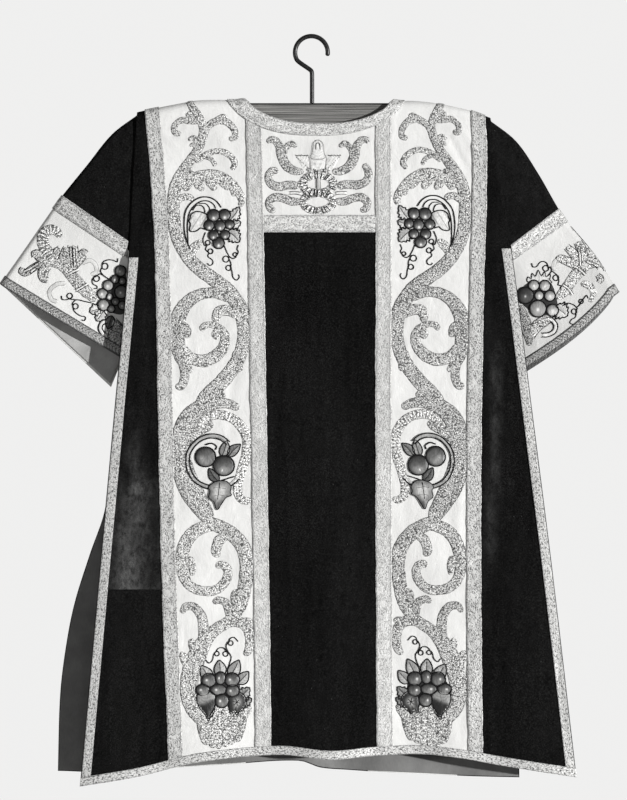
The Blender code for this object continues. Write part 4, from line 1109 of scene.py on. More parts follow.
def filled(work, outline, centre, rise, shade, rings=9, base=0.0):
    """A domed patch inside a closed outline; shade(px, py, share) gives its tone, share is 0 in the middle and 1 at the edge."""
    line, _ = smooth_path(outline, 0.85, True)
    line = line[:-1]
    n = len(line)
    c = np.array(centre, float)
    shares = np.linspace(0, 1, rings + 1)[1:]
    pts = np.concatenate([c[None]] + [c + (line - c) * r for r in shares])
    share = np.concatenate([[0]] + [np.full(n, r) for r in shares])
    height = CLOTH / 2 + base + rise * np.sqrt(np.clip(1 - share ** 2, 0, 1)) + 0.06
    faces = [(0, 1 + i, 1 + (i + 1) % n) for i in range(n)]
    for r in range(rings - 1):
        a, b = 1 + r * n, 1 + (r + 1) * n
        faces += [(a + i, b + i, b + (i + 1) % n, a + (i + 1) % n) for i in range(n)]
    last = 1 + (rings - 1) * n
    total = len(pts)
    pts = np.concatenate([pts, line, c[None]])
    height = np.concatenate([height, np.full(n + 1, CLOTH / 2 - 0.4)])
    tone = shade(pts[:, 0], pts[:, 1], np.concatenate([share, np.ones(n + 1)]))
    faces += [(last + i, total + i, total + (i + 1) % n, last + (i + 1) % n) for i in range(n)]
    faces += [(total + n, total + (i + 1) % n, total + i) for i in range(n)]
    work.put(pts[:, 0], pts[:, 1], height, tone, faces)


def oval(cx, cy, rx, ry, turn=0.0, n=12):
    a = np.linspace(0, 2 * math.pi, n, endpoint=False)
    x, y = rx * np.cos(a), ry * np.sin(a)
    c, s = math.cos(math.radians(turn)), math.sin(math.radians(turn))
    return [(cx + c * p - s * q, cy + s * p + c * q) for p, q in zip(x, y)]


def fruit(floss, line, cx, cy, rx, ry=None, turn=0.0, dark=0.16, light=0.62, glint=(0.0, 0.35), rise=1.9, spot=0.24):
    """A berry or fruit: shaded from dark edges to a lighter side, with a small pale glint, inside a dark cord."""
    ry = ry or rx
    outline = oval(cx, cy, rx, ry, turn)

    def shade(px, py, share):
        u, v = (px - cx) / rx, (py - cy) / ry
        lit = ease((v + 0.15 * u + 0.85) / 1.7) * (1 - 0.35 * u * u)
        glow = np.exp(-((u - glint[0]) ** 2 + (v - glint[1]) ** 2) / 0.16)
        point = np.exp(-((u - glint[0]) ** 2 * 1.6 + (v - glint[1] - 0.05) ** 2) / (spot * spot * 0.5))
        streaks = 0.07 * noise(px / 0.8, py / 2.4, 33)
        return np.clip(dark + (light + 0.08 - dark) * (0.75 * lit + 0.35 * glow) + 0.6 * point + streaks - 0.30 * share ** 6, 0, 1)

    filled(floss, outline, (cx, cy), rise, shade)
    cord(line, outline, 0.74, 0.7, closed=True)


def leaf(floss, line, base, tip, width, bend=0.0, teeth=0, tone=0.62, vein=0.22, rise=1.0, outline=True):
    """A leaf from base to tip with a midrib; teeth serrate its edge."""
    b, t = np.array(base, float), np.array(tip, float)
    along = t - b
    length = np.linalg.norm(along)
    way = along / length
    side = np.array([-way[1], way[0]])
    n = 9 if not teeth else teeth * 4 + 1
    u = np.linspace(0, 1, n)
    full = width / 2 * np.sin(math.pi * u ** 0.8) ** 0.8
    if teeth:
        full = full * (1 + 0.28 * np.where(np.arange(n) % 4 == 2, 1, np.where(np.arange(n) % 4 == 0, -0.6, 0.1)))
    curve = bend * np.sin(math.pi * u)
    mid = b + along * u[:, None] + side * curve[:, None]
    left, right = mid + side * full[:, None], mid - side * full[:, None]
    outline_pts = [tuple(p) for p in left] + [tuple(p) for p in right[-2:0:-1]]
    centre = b + along * 0.5 + side * bend

    def shade(px, py, share):
        p = np.stack([px, py], -1) - b
        s, d = p @ way / length, p @ side - bend * np.sin(math.pi * np.clip(p @ way / length, 0, 1))
        rib = np.exp(-(d / 0.55) ** 2)
        veins = np.exp(-((np.mod(s * length - np.abs(d) * 0.8, 3.2) - 1.6) / 0.45) ** 2) * 0.6
        return np.clip(tone - vein * np.maximum(rib, veins) + 0.22 * np.sign(d) * (1 - share) * 0.5 + 0.06 * noise(px, py, 37), 0, 1)

    filled(floss, outline_pts, centre, rise, shade, 7)
    if outline:
        cord(line, outline_pts, 0.60, 0.5, closed=True)
        cord(line, [b, b + along * 0.45 + side * bend * 0.9, b + along * 0.82 + side * bend * 0.4], 0.22, 1.1 + 0.2)


def tendril(line, table, radius=0.60):
    cord(line, table, radius, 0.45)


def curl_loop(cx, cy, r, start, turns=1.0, n=9):
    a = np.radians(start) + np.linspace(0, 2 * math.pi * turns, n)
    return [(cx + r * math.cos(t), cy + r * math.sin(t)) for t in a]


def body_place(half, mirror=False):
    """Chart squares to the surface of the left orphrey, or mirrored across into the right one."""
    def place(px, py):
        x, drop = (px - CHART_X) * SQUARE, (py - CHART_DROP) * SQUARE
        if mirror:
            cl = (half.lines["l_out"](drop) + OUTER_GALLOON + half.lines["l_in"](drop) - INNER_GALLOON) / 2
            hl = (half.lines["l_in"](drop) - INNER_GALLOON - half.lines["l_out"](drop) - OUTER_GALLOON) / 2
            cr = (half.lines["r_in"](drop) + INNER_GALLOON + half.lines["r_out"](drop) - OUTER_GALLOON) / 2
            hr = (half.lines["r_out"](drop) - OUTER_GALLOON - half.lines["r_in"](drop) - INNER_GALLOON) / 2
            x = cr - (x - cl) / hl * hr + 0.9 * noise(px / 30, py / 30, 61)
            drop = drop + 0.9 * noise(px / 30 + 9, py / 30, 62) - 1.5
        top = shoulder(x)
        s = np.where(drop < top + SHOULDER_R, SHOULDER_R * np.arccos(np.clip(1 - (drop - top) / SHOULDER_R, 0, 1)), half.s_of(x, drop))
        s = np.maximum(s, 0.3)
        return half.at(x, s), half.normal(x, s)
    return place


def sleeve_place(sleeve):
    def place(px, py):
        q, k = sleeve.find((px - CHART_X) * SQUARE, -(py - CHART_DROP) * SQUARE)
        return sleeve.at(q, k), sleeve.normal(q, k)
    return place


# Orphrey: the great scroll, its branches and curls. Rows are right, down, width, in chart squares.
SCROLLS = [
    # the stem that starts at the shoulder and swings out round the grapes
    dict(path=[(189, 100, 7), (192, 107, 8), (199, 117, 8.5), (203.5, 129, 9.5), (201.5, 142, 10), (195.5, 154, 10.5), (186.5, 167, 11), (178, 181, 11.5),
               (174, 197, 11.5), (174, 214, 11), (176.5, 233, 11), (184, 251, 11), (196, 266, 11.5), (212, 278.5, 12), (228, 291, 12.5), (240, 308, 12.5),
               (245, 328, 12.5), (243, 346, 11.5), (236, 364, 12), (222, 382, 12.5), (207, 396, 12), (198, 405, 8)]),
    dict(path=[(199, 122, 7), (190, 121, 8), (181, 121, 7), (174.5, 127, 7), (176, 134, 7), (181.5, 133, 5.5)]),
    dict(path=[(198, 115, 6), (191, 114, 6.5), (186.5, 117.5, 5.5)]),
    dict(path=[(203, 138, 7), (208, 127, 8), (218, 121, 8), (227.5, 123, 8), (234, 130, 7.5), (235, 137.5, 7), (229, 140, 6)]),
    dict(path=[(214, 121, 5), (223, 117, 5.5), (227, 119, 4.5)]),
    dict(path=[(199, 142, 8), (193, 138.5, 6), (188.5, 141, 3.5)]),
    dict(path=[(199, 147, 6), (193, 145, 5), (190, 147, 3)]),
    dict(path=[(196, 163, 6), (206, 155, 6.5), (219, 151.5, 6.5), (230, 156, 6.5), (235, 164, 6.5), (231.5, 170.5, 5)], tone=0.58),
    dict(path=[(204, 157, 4.5), (212, 160.5, 5), (216, 167, 5)], tone=0.58),
    dict(path=[(184, 191, 9), (191, 181, 10.5), (203, 176.5, 12), (217, 177, 12.5), (229, 183, 11), (238, 192, 8.5), (242, 201, 6.5), (240, 207, 5)], tone=0.60),
    dict(path=[(195, 183, 8), (201, 188, 8), (200, 191.5, 6)], tone=0.60),
    dict(path=[(207, 181, 8), (213.5, 187, 8), (212, 191, 6)], tone=0.60),
    dict(path=[(220, 181, 8), (226.5, 187, 7.5), (225.5, 190.5, 5.5)], tone=0.60),
    dict(path=[(231, 185, 6), (234, 193, 6), (233, 197, 4.5)], tone=0.60),
    dict(path=[(176, 203, 6), (184, 197.5, 6.5), (191, 198.5, 6), (192.5, 202, 5)], tone=0.62),
    dict(path=[(189, 262, 7), (192, 252, 8), (199, 244.5, 7.5), (202.5, 245, 5)], tone=0.66),
    dict(path=[(178, 190, 6), (186, 178, 6.5), (194, 171, 5)], tone=0.56),
    # first great curl
    dict(path=[(230, 299, 8), (215, 293.5, 9), (200, 295, 9.5), (188, 302.5, 11), (180, 315, 13), (177.5, 331, 13.5), (178.5, 347, 12.5), (183.5, 361, 10.5), (190, 371, 7)], tone=0.44),
    dict(path=[(182, 324, 11), (188, 334, 8), (191, 337.5, 4)], tone=0.46),
    dict(path=[(181, 346, 9), (189.5, 357, 9.5), (202, 361, 10.5), (214, 357.5, 10.5), (223, 348, 9.5), (225.5, 338, 8.5), (221, 329.5, 7), (212, 325, 5.5), (205, 326, 5.5), (201, 331, 5)], tone=0.54),
    dict(path=[(220, 338, 8), (215.5, 334, 6.5), (217, 329.5, 4)], tone=0.54),
    dict(path=[(240, 316, 8), (229, 311, 9), (220, 311.5, 9), (216.5, 318, 8), (219, 322.5, 5)], tone=0.60),
    dict(path=[(180, 354, 9), (184.5, 367, 8), (185, 379, 7.5), (181.5, 386, 7.5), (176, 386, 6)]),
    dict(path=[(187, 364, 7), (191, 371, 5), (192, 373, 3)]),
    dict(path=[(237, 350, 10), (238.5, 362, 8.5), (240.5, 372, 5)], tone=0.46),
    # the swelling round the fruit sprig
    dict(path=[(240, 408, 6.5), (227, 403.5, 8.5), (213, 403.5, 11), (199, 409, 14), (188, 420, 16), (182, 437, 17), (181.5, 455, 17), (184.5, 472, 18.5), (191, 488, 19.5), (199, 502, 17),
               (206, 513, 14), (212, 521, 10)], tone=0.47, step=0.8),
    dict(path=[(219, 397, 5), (222, 394, 4.5), (225.5, 397, 3)], tone=0.5),
    dict(path=[(188, 441, 8), (197, 432, 8.5), (207, 427, 8), (213.5, 422, 5.5)], tone=0.5),
    dict(path=[(199, 428, 6), (206, 418.5, 7.5), (217, 414.5, 8), (230, 417, 8), (240.5, 425, 8.5), (247, 438, 8.5), (246.5, 454, 8.5), (242, 470, 8), (238, 485, 8), (239.5, 496, 7.5),
               (246, 500.5, 6.5), (251, 498, 4.5)], rib=0.42, tone=0.70),
    # second great curl
    dict(path=[(203, 519, 9), (217, 524.5, 11), (231, 532, 12), (242.5, 545, 12.5), (247.5, 562, 12.5), (246, 579, 12), (243.5, 594, 11.5), (239, 607, 11), (231, 620, 9)]),
    dict(path=[(221, 523, 10), (207, 525.5, 10.5), (194, 532, 11), (185.5, 544, 11.5), (182, 560, 11), (184, 574, 9.5), (191.5, 585, 8.5), (204, 590, 8), (217, 588.5, 8),
               (226, 580, 8), (228.5, 570, 7.5), (223, 564, 7), (216, 565.5, 5.5)], tone=0.56),
    dict(path=[(188, 556, 9), (192.5, 566, 7), (193, 575, 4)], tone=0.56),
    dict(path=[(228, 533, 8), (219.5, 540, 9), (216.5, 550, 8.5), (219, 556.5, 6.5)], tone=0.56),
    dict(path=[(240, 606, 9), (236.5, 598, 9.5), (237.5, 588, 8.5)], tone=0.40, rib=0.2),
    dict(path=[(233, 620, 9), (229.5, 608, 8.5), (225.5, 601, 7), (218, 599, 6), (214.5, 603, 4.5)], tone=0.44),
    dict(path=[(205, 640, 10), (204, 627, 9), (202, 615, 8.5), (195, 606, 7.5), (186.5, 605.5, 6.5), (182.5, 612, 5)]),
    # down to the basket
    dict(path=[(237, 612, 9), (227, 621.5, 9.5), (215, 629, 10), (205, 640, 13), (197.5, 655, 16), (192, 670, 16), (189.5, 687, 15), (192, 702, 14), (201, 715, 13), (209, 724, 8)], tone=0.56),
    dict(path=[(198, 652, 10), (193, 643, 7), (192.5, 637, 3.5)], tone=0.62),
    dict(path=[(191, 664, 11), (185, 656, 8), (182, 650, 3.5)], tone=0.62),
    dict(path=[(226, 622, 8), (238, 620.5, 9), (247, 626, 9), (250.5, 637, 8.5), (249, 648, 7.5), (244.5, 654, 5)], tone=0.54),
    dict(path=[(240, 621, 6), (248, 619.5, 5.5), (252.5, 621.5, 3.5)]),
    dict(path=[(238, 720, 8), (245, 713, 7), (249.5, 706.5, 5.5), (252.5, 706, 3.5)], tone=0.5),
]
BASKET = [
    dict(path=[(200, 713, 7), (201, 724, 8), (203, 735, 8), (205.5, 745, 7.5), (208, 751, 5)], rib=0.22, tone=0.54),
    dict(path=[(208.5, 722, 7), (209, 730, 8), (210.5, 738, 8), (212.5, 747, 7.5), (214, 754, 5.5)], rib=0.22, tone=0.62),
    dict(path=[(217, 713, 7), (217.5, 725, 8), (218, 737, 8), (219, 748, 7.5), (219.6, 755, 5.5)], rib=0.22, tone=0.68),
    dict(path=[(225.5, 714, 7), (226, 725, 8), (226, 737, 8), (226, 748, 7.5), (226, 753, 5.5)], rib=0.22, tone=0.64),
    dict(path=[(234, 716, 7), (234, 726, 8), (233, 737, 8), (232, 746, 7.5), (231.5, 751, 5)], rib=0.22, tone=0.58),
    dict(path=[(243.5, 712, 7), (243, 722, 8), (241, 733, 8), (239, 742, 7), (236.5, 748, 5)], rib=0.22, tone=0.54),
]


def wide(path, by):
    """The path with its widths multiplied; the branches thin out near the shoulders."""
    return [(x, y, w * by * float(np.interp(y, [150, 215], [0.77, 1.0]))) for x, y, w in path]


def embroider_orphrey(tag, place):
    purl, floss, line = Work(place), Work(place), Work(place)
    # Painted shade: the right orphrey's thread is given a lower tone than the left's, to offset the stronger light on
    # that side.
    painted_shade_right = 0.09 if tag[-1] == "r" else 0.0
    for n, s in enumerate(SCROLLS):
        stroke(purl, wide(s["path"], 1.2), 1.3, s.get("tone", 0.5) - painted_shade_right, s.get("rib", 0.0), s.get("lobes", 0.0), n, s.get("step", 0.92))
    for n, s in enumerate(BASKET):
        stroke(purl, [(x, y - 8, w * 1.2) for x, y, w in s["path"]], 1.3, s.get("tone", 0.5) - 0.10, s.get("rib", 0.0), 0.0, n + 60)
    # grapes, inside a stem of two cords
    cord(line, [(191, 250), (186.5, 240), (184.5, 226), (186, 212), (192, 203), (201, 198), (210, 198), (217, 202), (221.5, 208)], 0.70, 0.5)
    cord(line, [(188.6, 246), (188.2, 236), (187.9, 225), (189.6, 214), (194.6, 206.4), (202, 201.8), (209, 201.8), (214, 205), (216, 209)], 0.62, 0.5)
    cord(line, [(193, 211), (197, 206), (202.5, 206.5), (205, 210), (205.5, 213)], 0.55, 0.5)
    cord(line, [(199.5, 204), (206, 204.4), (209.5, 208), (210, 211)], 0.50, 0.5)
    vine_leaf = [(208, 217), (203.5, 213.2), (196.5, 212.2), (191.8, 214.8), (190.6, 219), (189.4, 221.5), (190.8, 224.6), (190.4, 231.4), (196.5, 231.6), (201, 228.6), (206, 229)]
    filled(floss, vine_leaf, (199.5, 221.8), 0.9, lambda px, py, share: np.clip(0.95 - 0.22 * (np.abs(np.sin((px * 0.8 + py * 0.5) * 0.55)) < 0.22) - 0.25 * ease((px - 201) / 8)
                                                                               + 0.05 * noise(px, py, 6), 0, 1))
    cord(line, vine_leaf, 0.66, 0.5, closed=True)
    leaf(floss, line, (229, 222), (239.5, 207.5), 10, 1.2, 5, 0.88, 0.16)
    leaf(floss, line, (231, 226), (241, 222.5), 9, 0.4, 3, 0.86, 0.16)
    leaf(floss, line, (228, 232), (239.8, 242.5), 13, -1.0, 5, 0.84, 0.18)
    for gx, gy, gr in ((214, 216, 6.1), (225, 215.5, 5.7), (209.5, 226, 5.1), (220.5, 226.5, 5.3), (230, 225, 4.6), (214, 235.8, 5.1), (225.5, 235.3, 4.7), (219, 243.6, 5.7)):
        fruit(floss, line, gx, gy, gr, None, 0, 0.18, 0.68, (0.0, 0.42))
    tendril(line, [(206, 233), (203.5, 240), (205, 246), *curl_loop(208.4, 243.2, 2.3, 130, -1.05), (206, 250), *curl_loop(211, 251.8, 2.4, 150, -1.05), (208.5, 257),
                   (213, 261), (213, 264.5), (210, 266), (207.8, 264)])
    tendril(line, [(224.6, 246), (227, 252), (229.5, 257), *curl_loop(226.4, 259.6, 3.0, -30, -1.05), (231, 263), *curl_loop(229, 268.4, 2.6, -30, -1.05), (232.5, 272),
                   (233.6, 278), (237, 280.5), (239.6, 277.5), (238.6, 275)])
    tendril(line, [(229, 256.5), (233, 259), (236.4, 257.5), *curl_loop(235.4, 255, 1.9, 60, -1.05), (238.6, 252.5), (237.4, 249.5), (238.8, 245.5)])
    # fruit sprig inside a ring of stem
    ring = [(238, 477), (230, 484), (219, 487.5), (207, 486), (196, 480), (189.5, 469), (188.5, 456), (193, 446), (201.5, 438.5), (212, 435.5), (222, 437.5), (229, 443)]
    stroke(floss, [(x, y, 3.4) for x, y in ring], 1.5, 0.78, 0.0, 0.0, 3)
    cord(line, [(x + (x - 211) * 0.075, y + (y - 462) * 0.075) for x, y in ring], 0.62, 1.3)
    cord(line, [(x - (x - 211) * 0.085, y - (y - 462) * 0.085) for x, y in ring[2:]], 0.62, 1.3)
    cord(line, [(206, 444.5), (212, 443), (217, 446), (216, 449.5)], 0.8, 0.6)
    leaf(floss, line, (222.5, 456), (227, 440.5), 10, 0.8, 0, 0.70)
    leaf(floss, line, (229, 456), (240.8, 444), 9.5, -0.8, 0, 0.60)
    leaf(floss, line, (219, 481), (209.5, 468), 9.5, -0.8, 0, 0.44)
    plum_leaf = [(221, 480.5), (227, 481), (231.6, 486), (230.6, 491.5), (231.6, 494.5), (226.5, 497), (221.5, 504), (217.6, 509), (214.5, 501.5), (209.6, 497), (210.6, 490.5),
                 (209.2, 486.5), (214.5, 482)]
    filled(floss, plum_leaf, (220, 491), 1.1, lambda px, py, share: np.clip(0.84 - 0.30 * ease((share - 0.3) / 0.7) - 0.22 * ease((py - 497) / 8) * (px > 218)
                                                                            + 0.07 * noise(px / 1.2, py / 2.4, 8), 0, 1), 8, 2.0)
    cord(line, plum_leaf, 0.66, 1.6, closed=True)
    cord(line, [(220.6, 482), (219.4, 490), (218, 499)], 0.3, 3.2)
    for x, y in ((213.6, 487.6), (226.4, 488.2), (214.6, 495.4), (225.2, 495.4)):
        cord(line, [(219.6, y - 1.2), (x, y)], 0.22, 2.9)
    tendril(line, [(221, 480.5), (228, 478), (235, 476)], 0.7)
    fruit(floss, line, 206.2, 456.6, 10.2, 9.9, 0, 0.34, 0.66, (-0.35, 0.1), 2.2, 0.08)
    fruit(floss, line, 224.4, 465.3, 10.4, 10, 0, 0.24, 0.66, (-0.15, 0.42), 2.2, 0.10)
    # heap of fruit above the basket
    tendril(line, [(228, 667), (230.5, 660.5), (231.5, 655), (228, 649.5), *curl_loop(226, 652.4, 2.4, -60, -1.0), (224, 646.5), (219, 647), *curl_loop(217.6, 652.2, 2.2, -120, -1.0),
                   (214.5, 652.5), (213, 658.5), (209.5, 661.5), (206.4, 658.5)])
    tendril(line, [(228.6, 650.5), (226.6, 645), (228.5, 640.5), *curl_loop(231.3, 641.6, 2.3, 180, 1.0), (230.5, 637.2), (234.5, 636), (238.6, 640)])
    for b, t, w in (((211, 680), (202, 664), 12), ((220.5, 675), (219.8, 658.5), 12), ((230, 676), (239.5, 658.5), 12), ((238, 682), (248.8, 670), 11)):
        leaf(floss, line, b, t, w, 0.5, 0, 0.76, 0.16)
    leaf(floss, line, (237, 698), (250, 686), 12, 0.5, 5, 0.66)
    leaf(floss, line, (240, 704), (252, 697), 10, -0.5, 4, 0.60)
    filled(floss, [(203, 679), (212, 673), (221, 671), (232, 673), (239, 679), (240, 690), (232, 699), (222, 704), (210, 699), (201, 692), (200, 684)], (221, 687), 0.6,
           lambda px, py, share: np.full(px.shape, 0.10), 6)
    heap = ((209.5, 678.4, 7.3, 6.9, 0.26), (221, 676.4, 5.2, 6.4, 0.26), (232.6, 678, 7.3, 7.0, 0.24), (203.5, 688, 6.8, 5.6, 0.26), (219, 688, 8.0, 5.4, 0.30), (233, 689, 6.8, 6.2, 0.24),
            (222.5, 699, 6.8, 6.8, 0.26))
    for fx, fy, fr, fs, dark in heap:
        fruit(floss, line, fx, fy, fr, fs, 0, dark, 0.66, (-0.3, -0.05), 2.1)
    fig = [(198, 693), (203, 689), (210, 689), (215.5, 693), (216.5, 700), (214.5, 707), (211, 713), (209, 719), (206, 713), (201, 707), (198, 700)]
    filled(floss, fig, (207, 700), 2.0, lambda px, py, share: np.clip(0.66 - 0.62 * ease((py + (px - 207) * 0.4 - 698) / 7) + 0.10 * noise(px, py, 3), 0.06, 0.8))
    cord(line, fig, 0.70, 0.55, closed=True)
    cord(line, [(211, 716), (214, 712), (216, 706)], 0.5, 0.5)
    pome = [(229, 703), (230, 695), (236, 690.5), (243, 692), (247, 699), (245, 706), (240, 710), (237, 713), (235, 710), (231, 712), (230, 708)]
    filled(floss, pome, (237.5, 701), 2.0, lambda px, py, share: np.clip(0.74 - 0.62 * ease(share * 1.4 - 0.2) + 0.08 * noise(px, py, 4), 0.08, 0.9))
    cord(line, pome, 0.62, 0.55, closed=True)
    for a in range(0, 360, 60):
        r = math.radians(a + 15)
        cord(line, [(237, 700.5), (237 + 3.6 * math.cos(r), 700.5 + 3.6 * math.sin(r))], 0.34, 2.1)
    return [purl.build(f"embroidery_{tag}", PURL, "galloon"), floss.build(f"fruit_{tag}", FLOSS, "silk", 60), line.build(f"outlines_{tag}", OUTLINE, "velvet")]


APRON_LEFT = [
    dict(path=[(268.5, 144, 5.5), (270, 140.5, 7), (275, 141, 7.5), (279.5, 147, 9), (282, 157, 10), (286.5, 166, 10), (295, 171.5, 8.5), (304, 172, 6)]),
    dict(path=[(283, 158, 6), (285.5, 149, 6.5), (291.5, 144, 6), (297, 147.5, 4.5)]),
    dict(path=[(278.5, 173, 6), (273, 171, 7.5), (268.5, 177, 8.5), (271, 184, 9), (279, 187.2, 9), (289, 185.5, 9), (299, 186.5, 7.5)]),
    dict(path=[(276, 211.5, 6), (270.5, 209, 7.5), (269, 202.5, 8), (275, 197.8, 8.5), (284, 199, 8.5), (292, 202, 8.5), (301, 201.8, 7)]),
]


def embroider_apron():
    place = body_place(FRONT)
    purl, floss, line = Work(place), Work(place), Work(place)
    middle = 318.0
    for n, s in enumerate(APRON_LEFT):
        for flip in (False, True):
            path = [(2 * middle - x if flip else x, y, w) for x, y, w in s["path"]]
            if flip and n == 2:  # the right-hand arm turns up its end
                path = [(362, 166, 6), (366, 168, 7.5), (368.5, 175, 8), (365, 182.5, 8.5), (356, 185.5, 9), (346, 185, 9), (337, 187, 7.5)]
            stroke(purl, path, 1.3, 0.42, 0.0, 0.0, n + 40 * flip)
    for cy, rx, ry, w in ((184.5, 15.2, 9.2, 8.6), (202.5, 15.0, 8.6, 8.0)):
        for start, stop in ((-90, 95), (90, 275)):
            a = np.radians(np.linspace(start, stop, 12))
            stroke(purl, [(middle + rx * math.cos(t), cy + ry * math.sin(t), w) for t in a], 1.4, 0.80, 0.0, 0.0, int(cy) + start)
        for k in range(24):
            t = 2 * math.pi * (k + 0.25 * math.sin(k * 2.3)) / 24
            near, far = 1 - w * 0.42 / rx, 1 + w * 0.46 / rx
            cord(line, [(middle + rx * near * math.cos(t), cy + ry * (1 - w * 0.42 / ry) * math.sin(t)), (middle + rx * far * math.cos(t), cy + ry * (1 + w * 0.46 / ry) * math.sin(t))], 0.32, 1.75)
    # upright bar and small side bars
    stroke(floss, [(middle, 169.5, 4.2), (middle, 180, 4.4), (middle, 190.5, 4.2)], 1.6, 0.74)
    for x in (-2.3, 2.3):
        cord(line, [(middle + x, 172), (middle + x * 1.05, 180), (middle + x, 189)], 0.17, 0.9)
    for flip in (1, -1):
        bar(floss, line, [(middle - flip * 28.5, 193.6), (middle - flip * 23, 193.4), (middle - flip * 17, 194.2)], 2.6)
        # crown: side petals with flat stitched tops
        side = [(middle - flip * 6, 170), (middle - flip * 14.5, 169), (middle - flip * 17.5, 165), (middle - flip * 20.5, 159), (middle - flip * 22.2, 156), (middle - flip * 18, 154.8),
                (middle - flip * 13.5, 155.2), (middle - flip * 10.5, 157.5), (middle - flip * 8, 162)]
        filled(floss, side, (middle - flip * 13.5, 162.5), 0.9, lambda px, py, share: np.clip(0.98 - 0.20 * (np.abs(np.sin((px + py * 0.6) * 0.9)) < 0.22) + 0.05 * noise(px, py, 9), 0, 1), 6)
        for k in range(9):
            x = middle - flip * (10.5 + 1.45 * k)
            cord(line, [(x, 155.4 + 0.5 * (k % 2)), (x + 0.7, 156.4 + 0.5 * (k % 2))], 0.34, 0.9)
        for k in range(8):
            x, y = middle - flip * (21.5 - 1.7 * k), 157.5 + 1.65 * k
            cord(line, [(x, y), (x - flip * -0.9, y + 0.9)], 0.30, 0.8)
    bell = [(middle - 7.5, 170), (middle - 8, 163), (middle - 8.5, 158), (middle - 6.6, 155), (middle - 5.4, 149), (middle - 4.6, 143.5), (middle, 140.5), (middle + 4.6, 143.5),
            (middle + 5.4, 149), (middle + 6.6, 155), (middle + 8.5, 158), (middle + 8, 163), (middle + 7.5, 170), (middle, 171.5)]
    filled(floss, bell, (middle, 158), 1.3, lambda px, py, share: np.clip(0.97 - 0.16 * (np.abs(np.sin(py * 1.1 + np.abs(px - 318) * 0.5)) < 0.25) + 0.05 * noise(px, py, 4), 0, 1), 8)
    cord(line, bell[:-1], 0.20, 1.25)
    cord(line, [(middle - 2.2, 150), (middle - 1.8, 145), (middle, 143.4), (middle + 1.8, 145), (middle + 2.2, 150)], 0.26, 1.6)
    cord(line, [(middle - 8, 158), (middle - 3, 160), (middle + 3, 160), (middle + 8, 158)], 0.18, 2.0)
    stroke(purl, [(306, 169.5, 4.5), (318, 172, 5), (330, 169.5, 4.5)], 1.3, 0.5)
    return [purl.build("embroidery_apron", PURL, "galloon"), floss.build("crown_apron", FLOSS, "silk", 60), line.build("outlines_apron", OUTLINE, "velvet")]


# Cuffs: a leafy branch with a ribbed curl, a heap of fruit with tendrils, and a short horn below it.
CUFF_LEFT = [
    dict(path=[(53, 260, 11), (47.5, 252, 12), (43, 243, 12), (44.5, 234, 11.5), (51, 230, 10.5), (57.5, 232, 9), (60.5, 238, 7)], rib=0.55, tone=0.56, edged=False),
    dict(path=[(44, 262, 10), (53, 262, 11), (61, 264.5, 11), (67, 270, 11), (74, 278, 12.5), (82, 287, 12.5), (90, 294.5, 11.5), (98, 300, 9)], tone=0.56, edged=False),
    dict(path=[(55, 260, 8), (56, 253, 8), (61, 249, 7)], tone=0.46),
    dict(path=[(62, 264, 9), (65.5, 254, 10), (68, 247.5, 8)], tone=0.52, rib=0.14),
    dict(path=[(70, 267, 9), (73, 255, 11.5), (73.5, 245.5, 10)], tone=0.56, rib=0.14),
    dict(path=[(74, 267, 8), (80, 259, 10), (84.5, 253, 8.5), (87, 254, 5)], tone=0.50),
    dict(path=[(45, 263, 8), (40, 256.5, 10), (35.5, 254, 8.5), (35, 258, 5)], tone=0.52),
    dict(path=[(48, 266, 9), (43.5, 272, 10.5), (44.5, 278.5, 9), (48.5, 280.5, 5)], tone=0.52),
    dict(path=[(41, 263.5, 7), (33, 268.5, 7.5), (26, 273, 7), (22, 271, 6.5), (23, 267.5, 4)], tone=0.46),
    dict(path=[(113, 320, 8), (118, 329, 12), (120, 340, 11), (120, 348, 7)], tone=0.40),
    dict(path=[(108, 329, 6), (112, 337, 8), (114, 345, 6)], tone=0.42),
]
CUFF_LEFT_FAINT = [[(82, 264), (90, 260.5), (96, 265), (96.5, 272), (91, 275)], [(66, 283), (57, 284.5), (50, 291), (51.5, 299), (58, 302)]]
CUFF_LEFT_BARS = [[(71.2, 247), (72, 258), (73, 268)], [(74.6, 248), (75.2, 258), (75.6, 266)], [(66, 276), (72, 272.8), (79, 269.5)], [(76, 291), (82, 287.6), (88, 284)],
                  [(41, 262.5), (33, 267.5), (26, 271.5)], [(38, 267), (34, 270), (31, 273)]]
CUFF_RIGHT = [
    dict(path=[(571, 229, 4), (575, 227.5, 6), (580, 231, 7), (586, 238, 7), (592, 246, 7.5), (597, 255, 8), (602, 263, 7), (605, 271, 4)], tone=0.40),
    dict(path=[(590, 262, 9), (584, 267, 10.5), (578, 272, 12), (571, 281, 12), (564, 291, 11), (556, 299, 8)], tone=0.54, edged=False),
    dict(path=[(588, 262, 9), (590, 253, 11), (589, 247, 8)], tone=0.44),
    dict(path=[(584, 262, 9), (581, 250, 10), (577, 242, 8)], tone=0.48),
    dict(path=[(579, 264, 8), (573, 254, 9), (566, 247, 7)], tone=0.60),
    dict(path=[(577, 267, 8), (568, 262, 9), (560, 259, 8), (556, 261, 5)], tone=0.56),
    dict(path=[(589, 265, 8), (596, 263, 9), (600, 268, 6)], tone=0.44),
    dict(path=[(597, 275, 5), (600, 279, 7), (598, 283, 4)], tone=0.50),
    dict(path=[(580, 284, 6), (587, 285, 8), (592, 290, 7), (592, 298, 6), (588, 302, 4)], tone=0.62, edged=False),
    # painted shadow: this stroke beside the front panel's edge is given a dark tone for that edge's shadow
    dict(path=[(520, 305, 6), (523, 315, 10), (526, 327, 12), (528.5, 338, 9), (529, 346, 5)], tone=0.28, edged=False),
    dict(path=[(551, 318, 8), (544, 321, 11), (536, 327, 11), (531, 337, 7)], tone=0.54),
]
CUFF_RIGHT_FAINT = [[(561, 259), (555, 261), (553, 267), (556, 271)]]
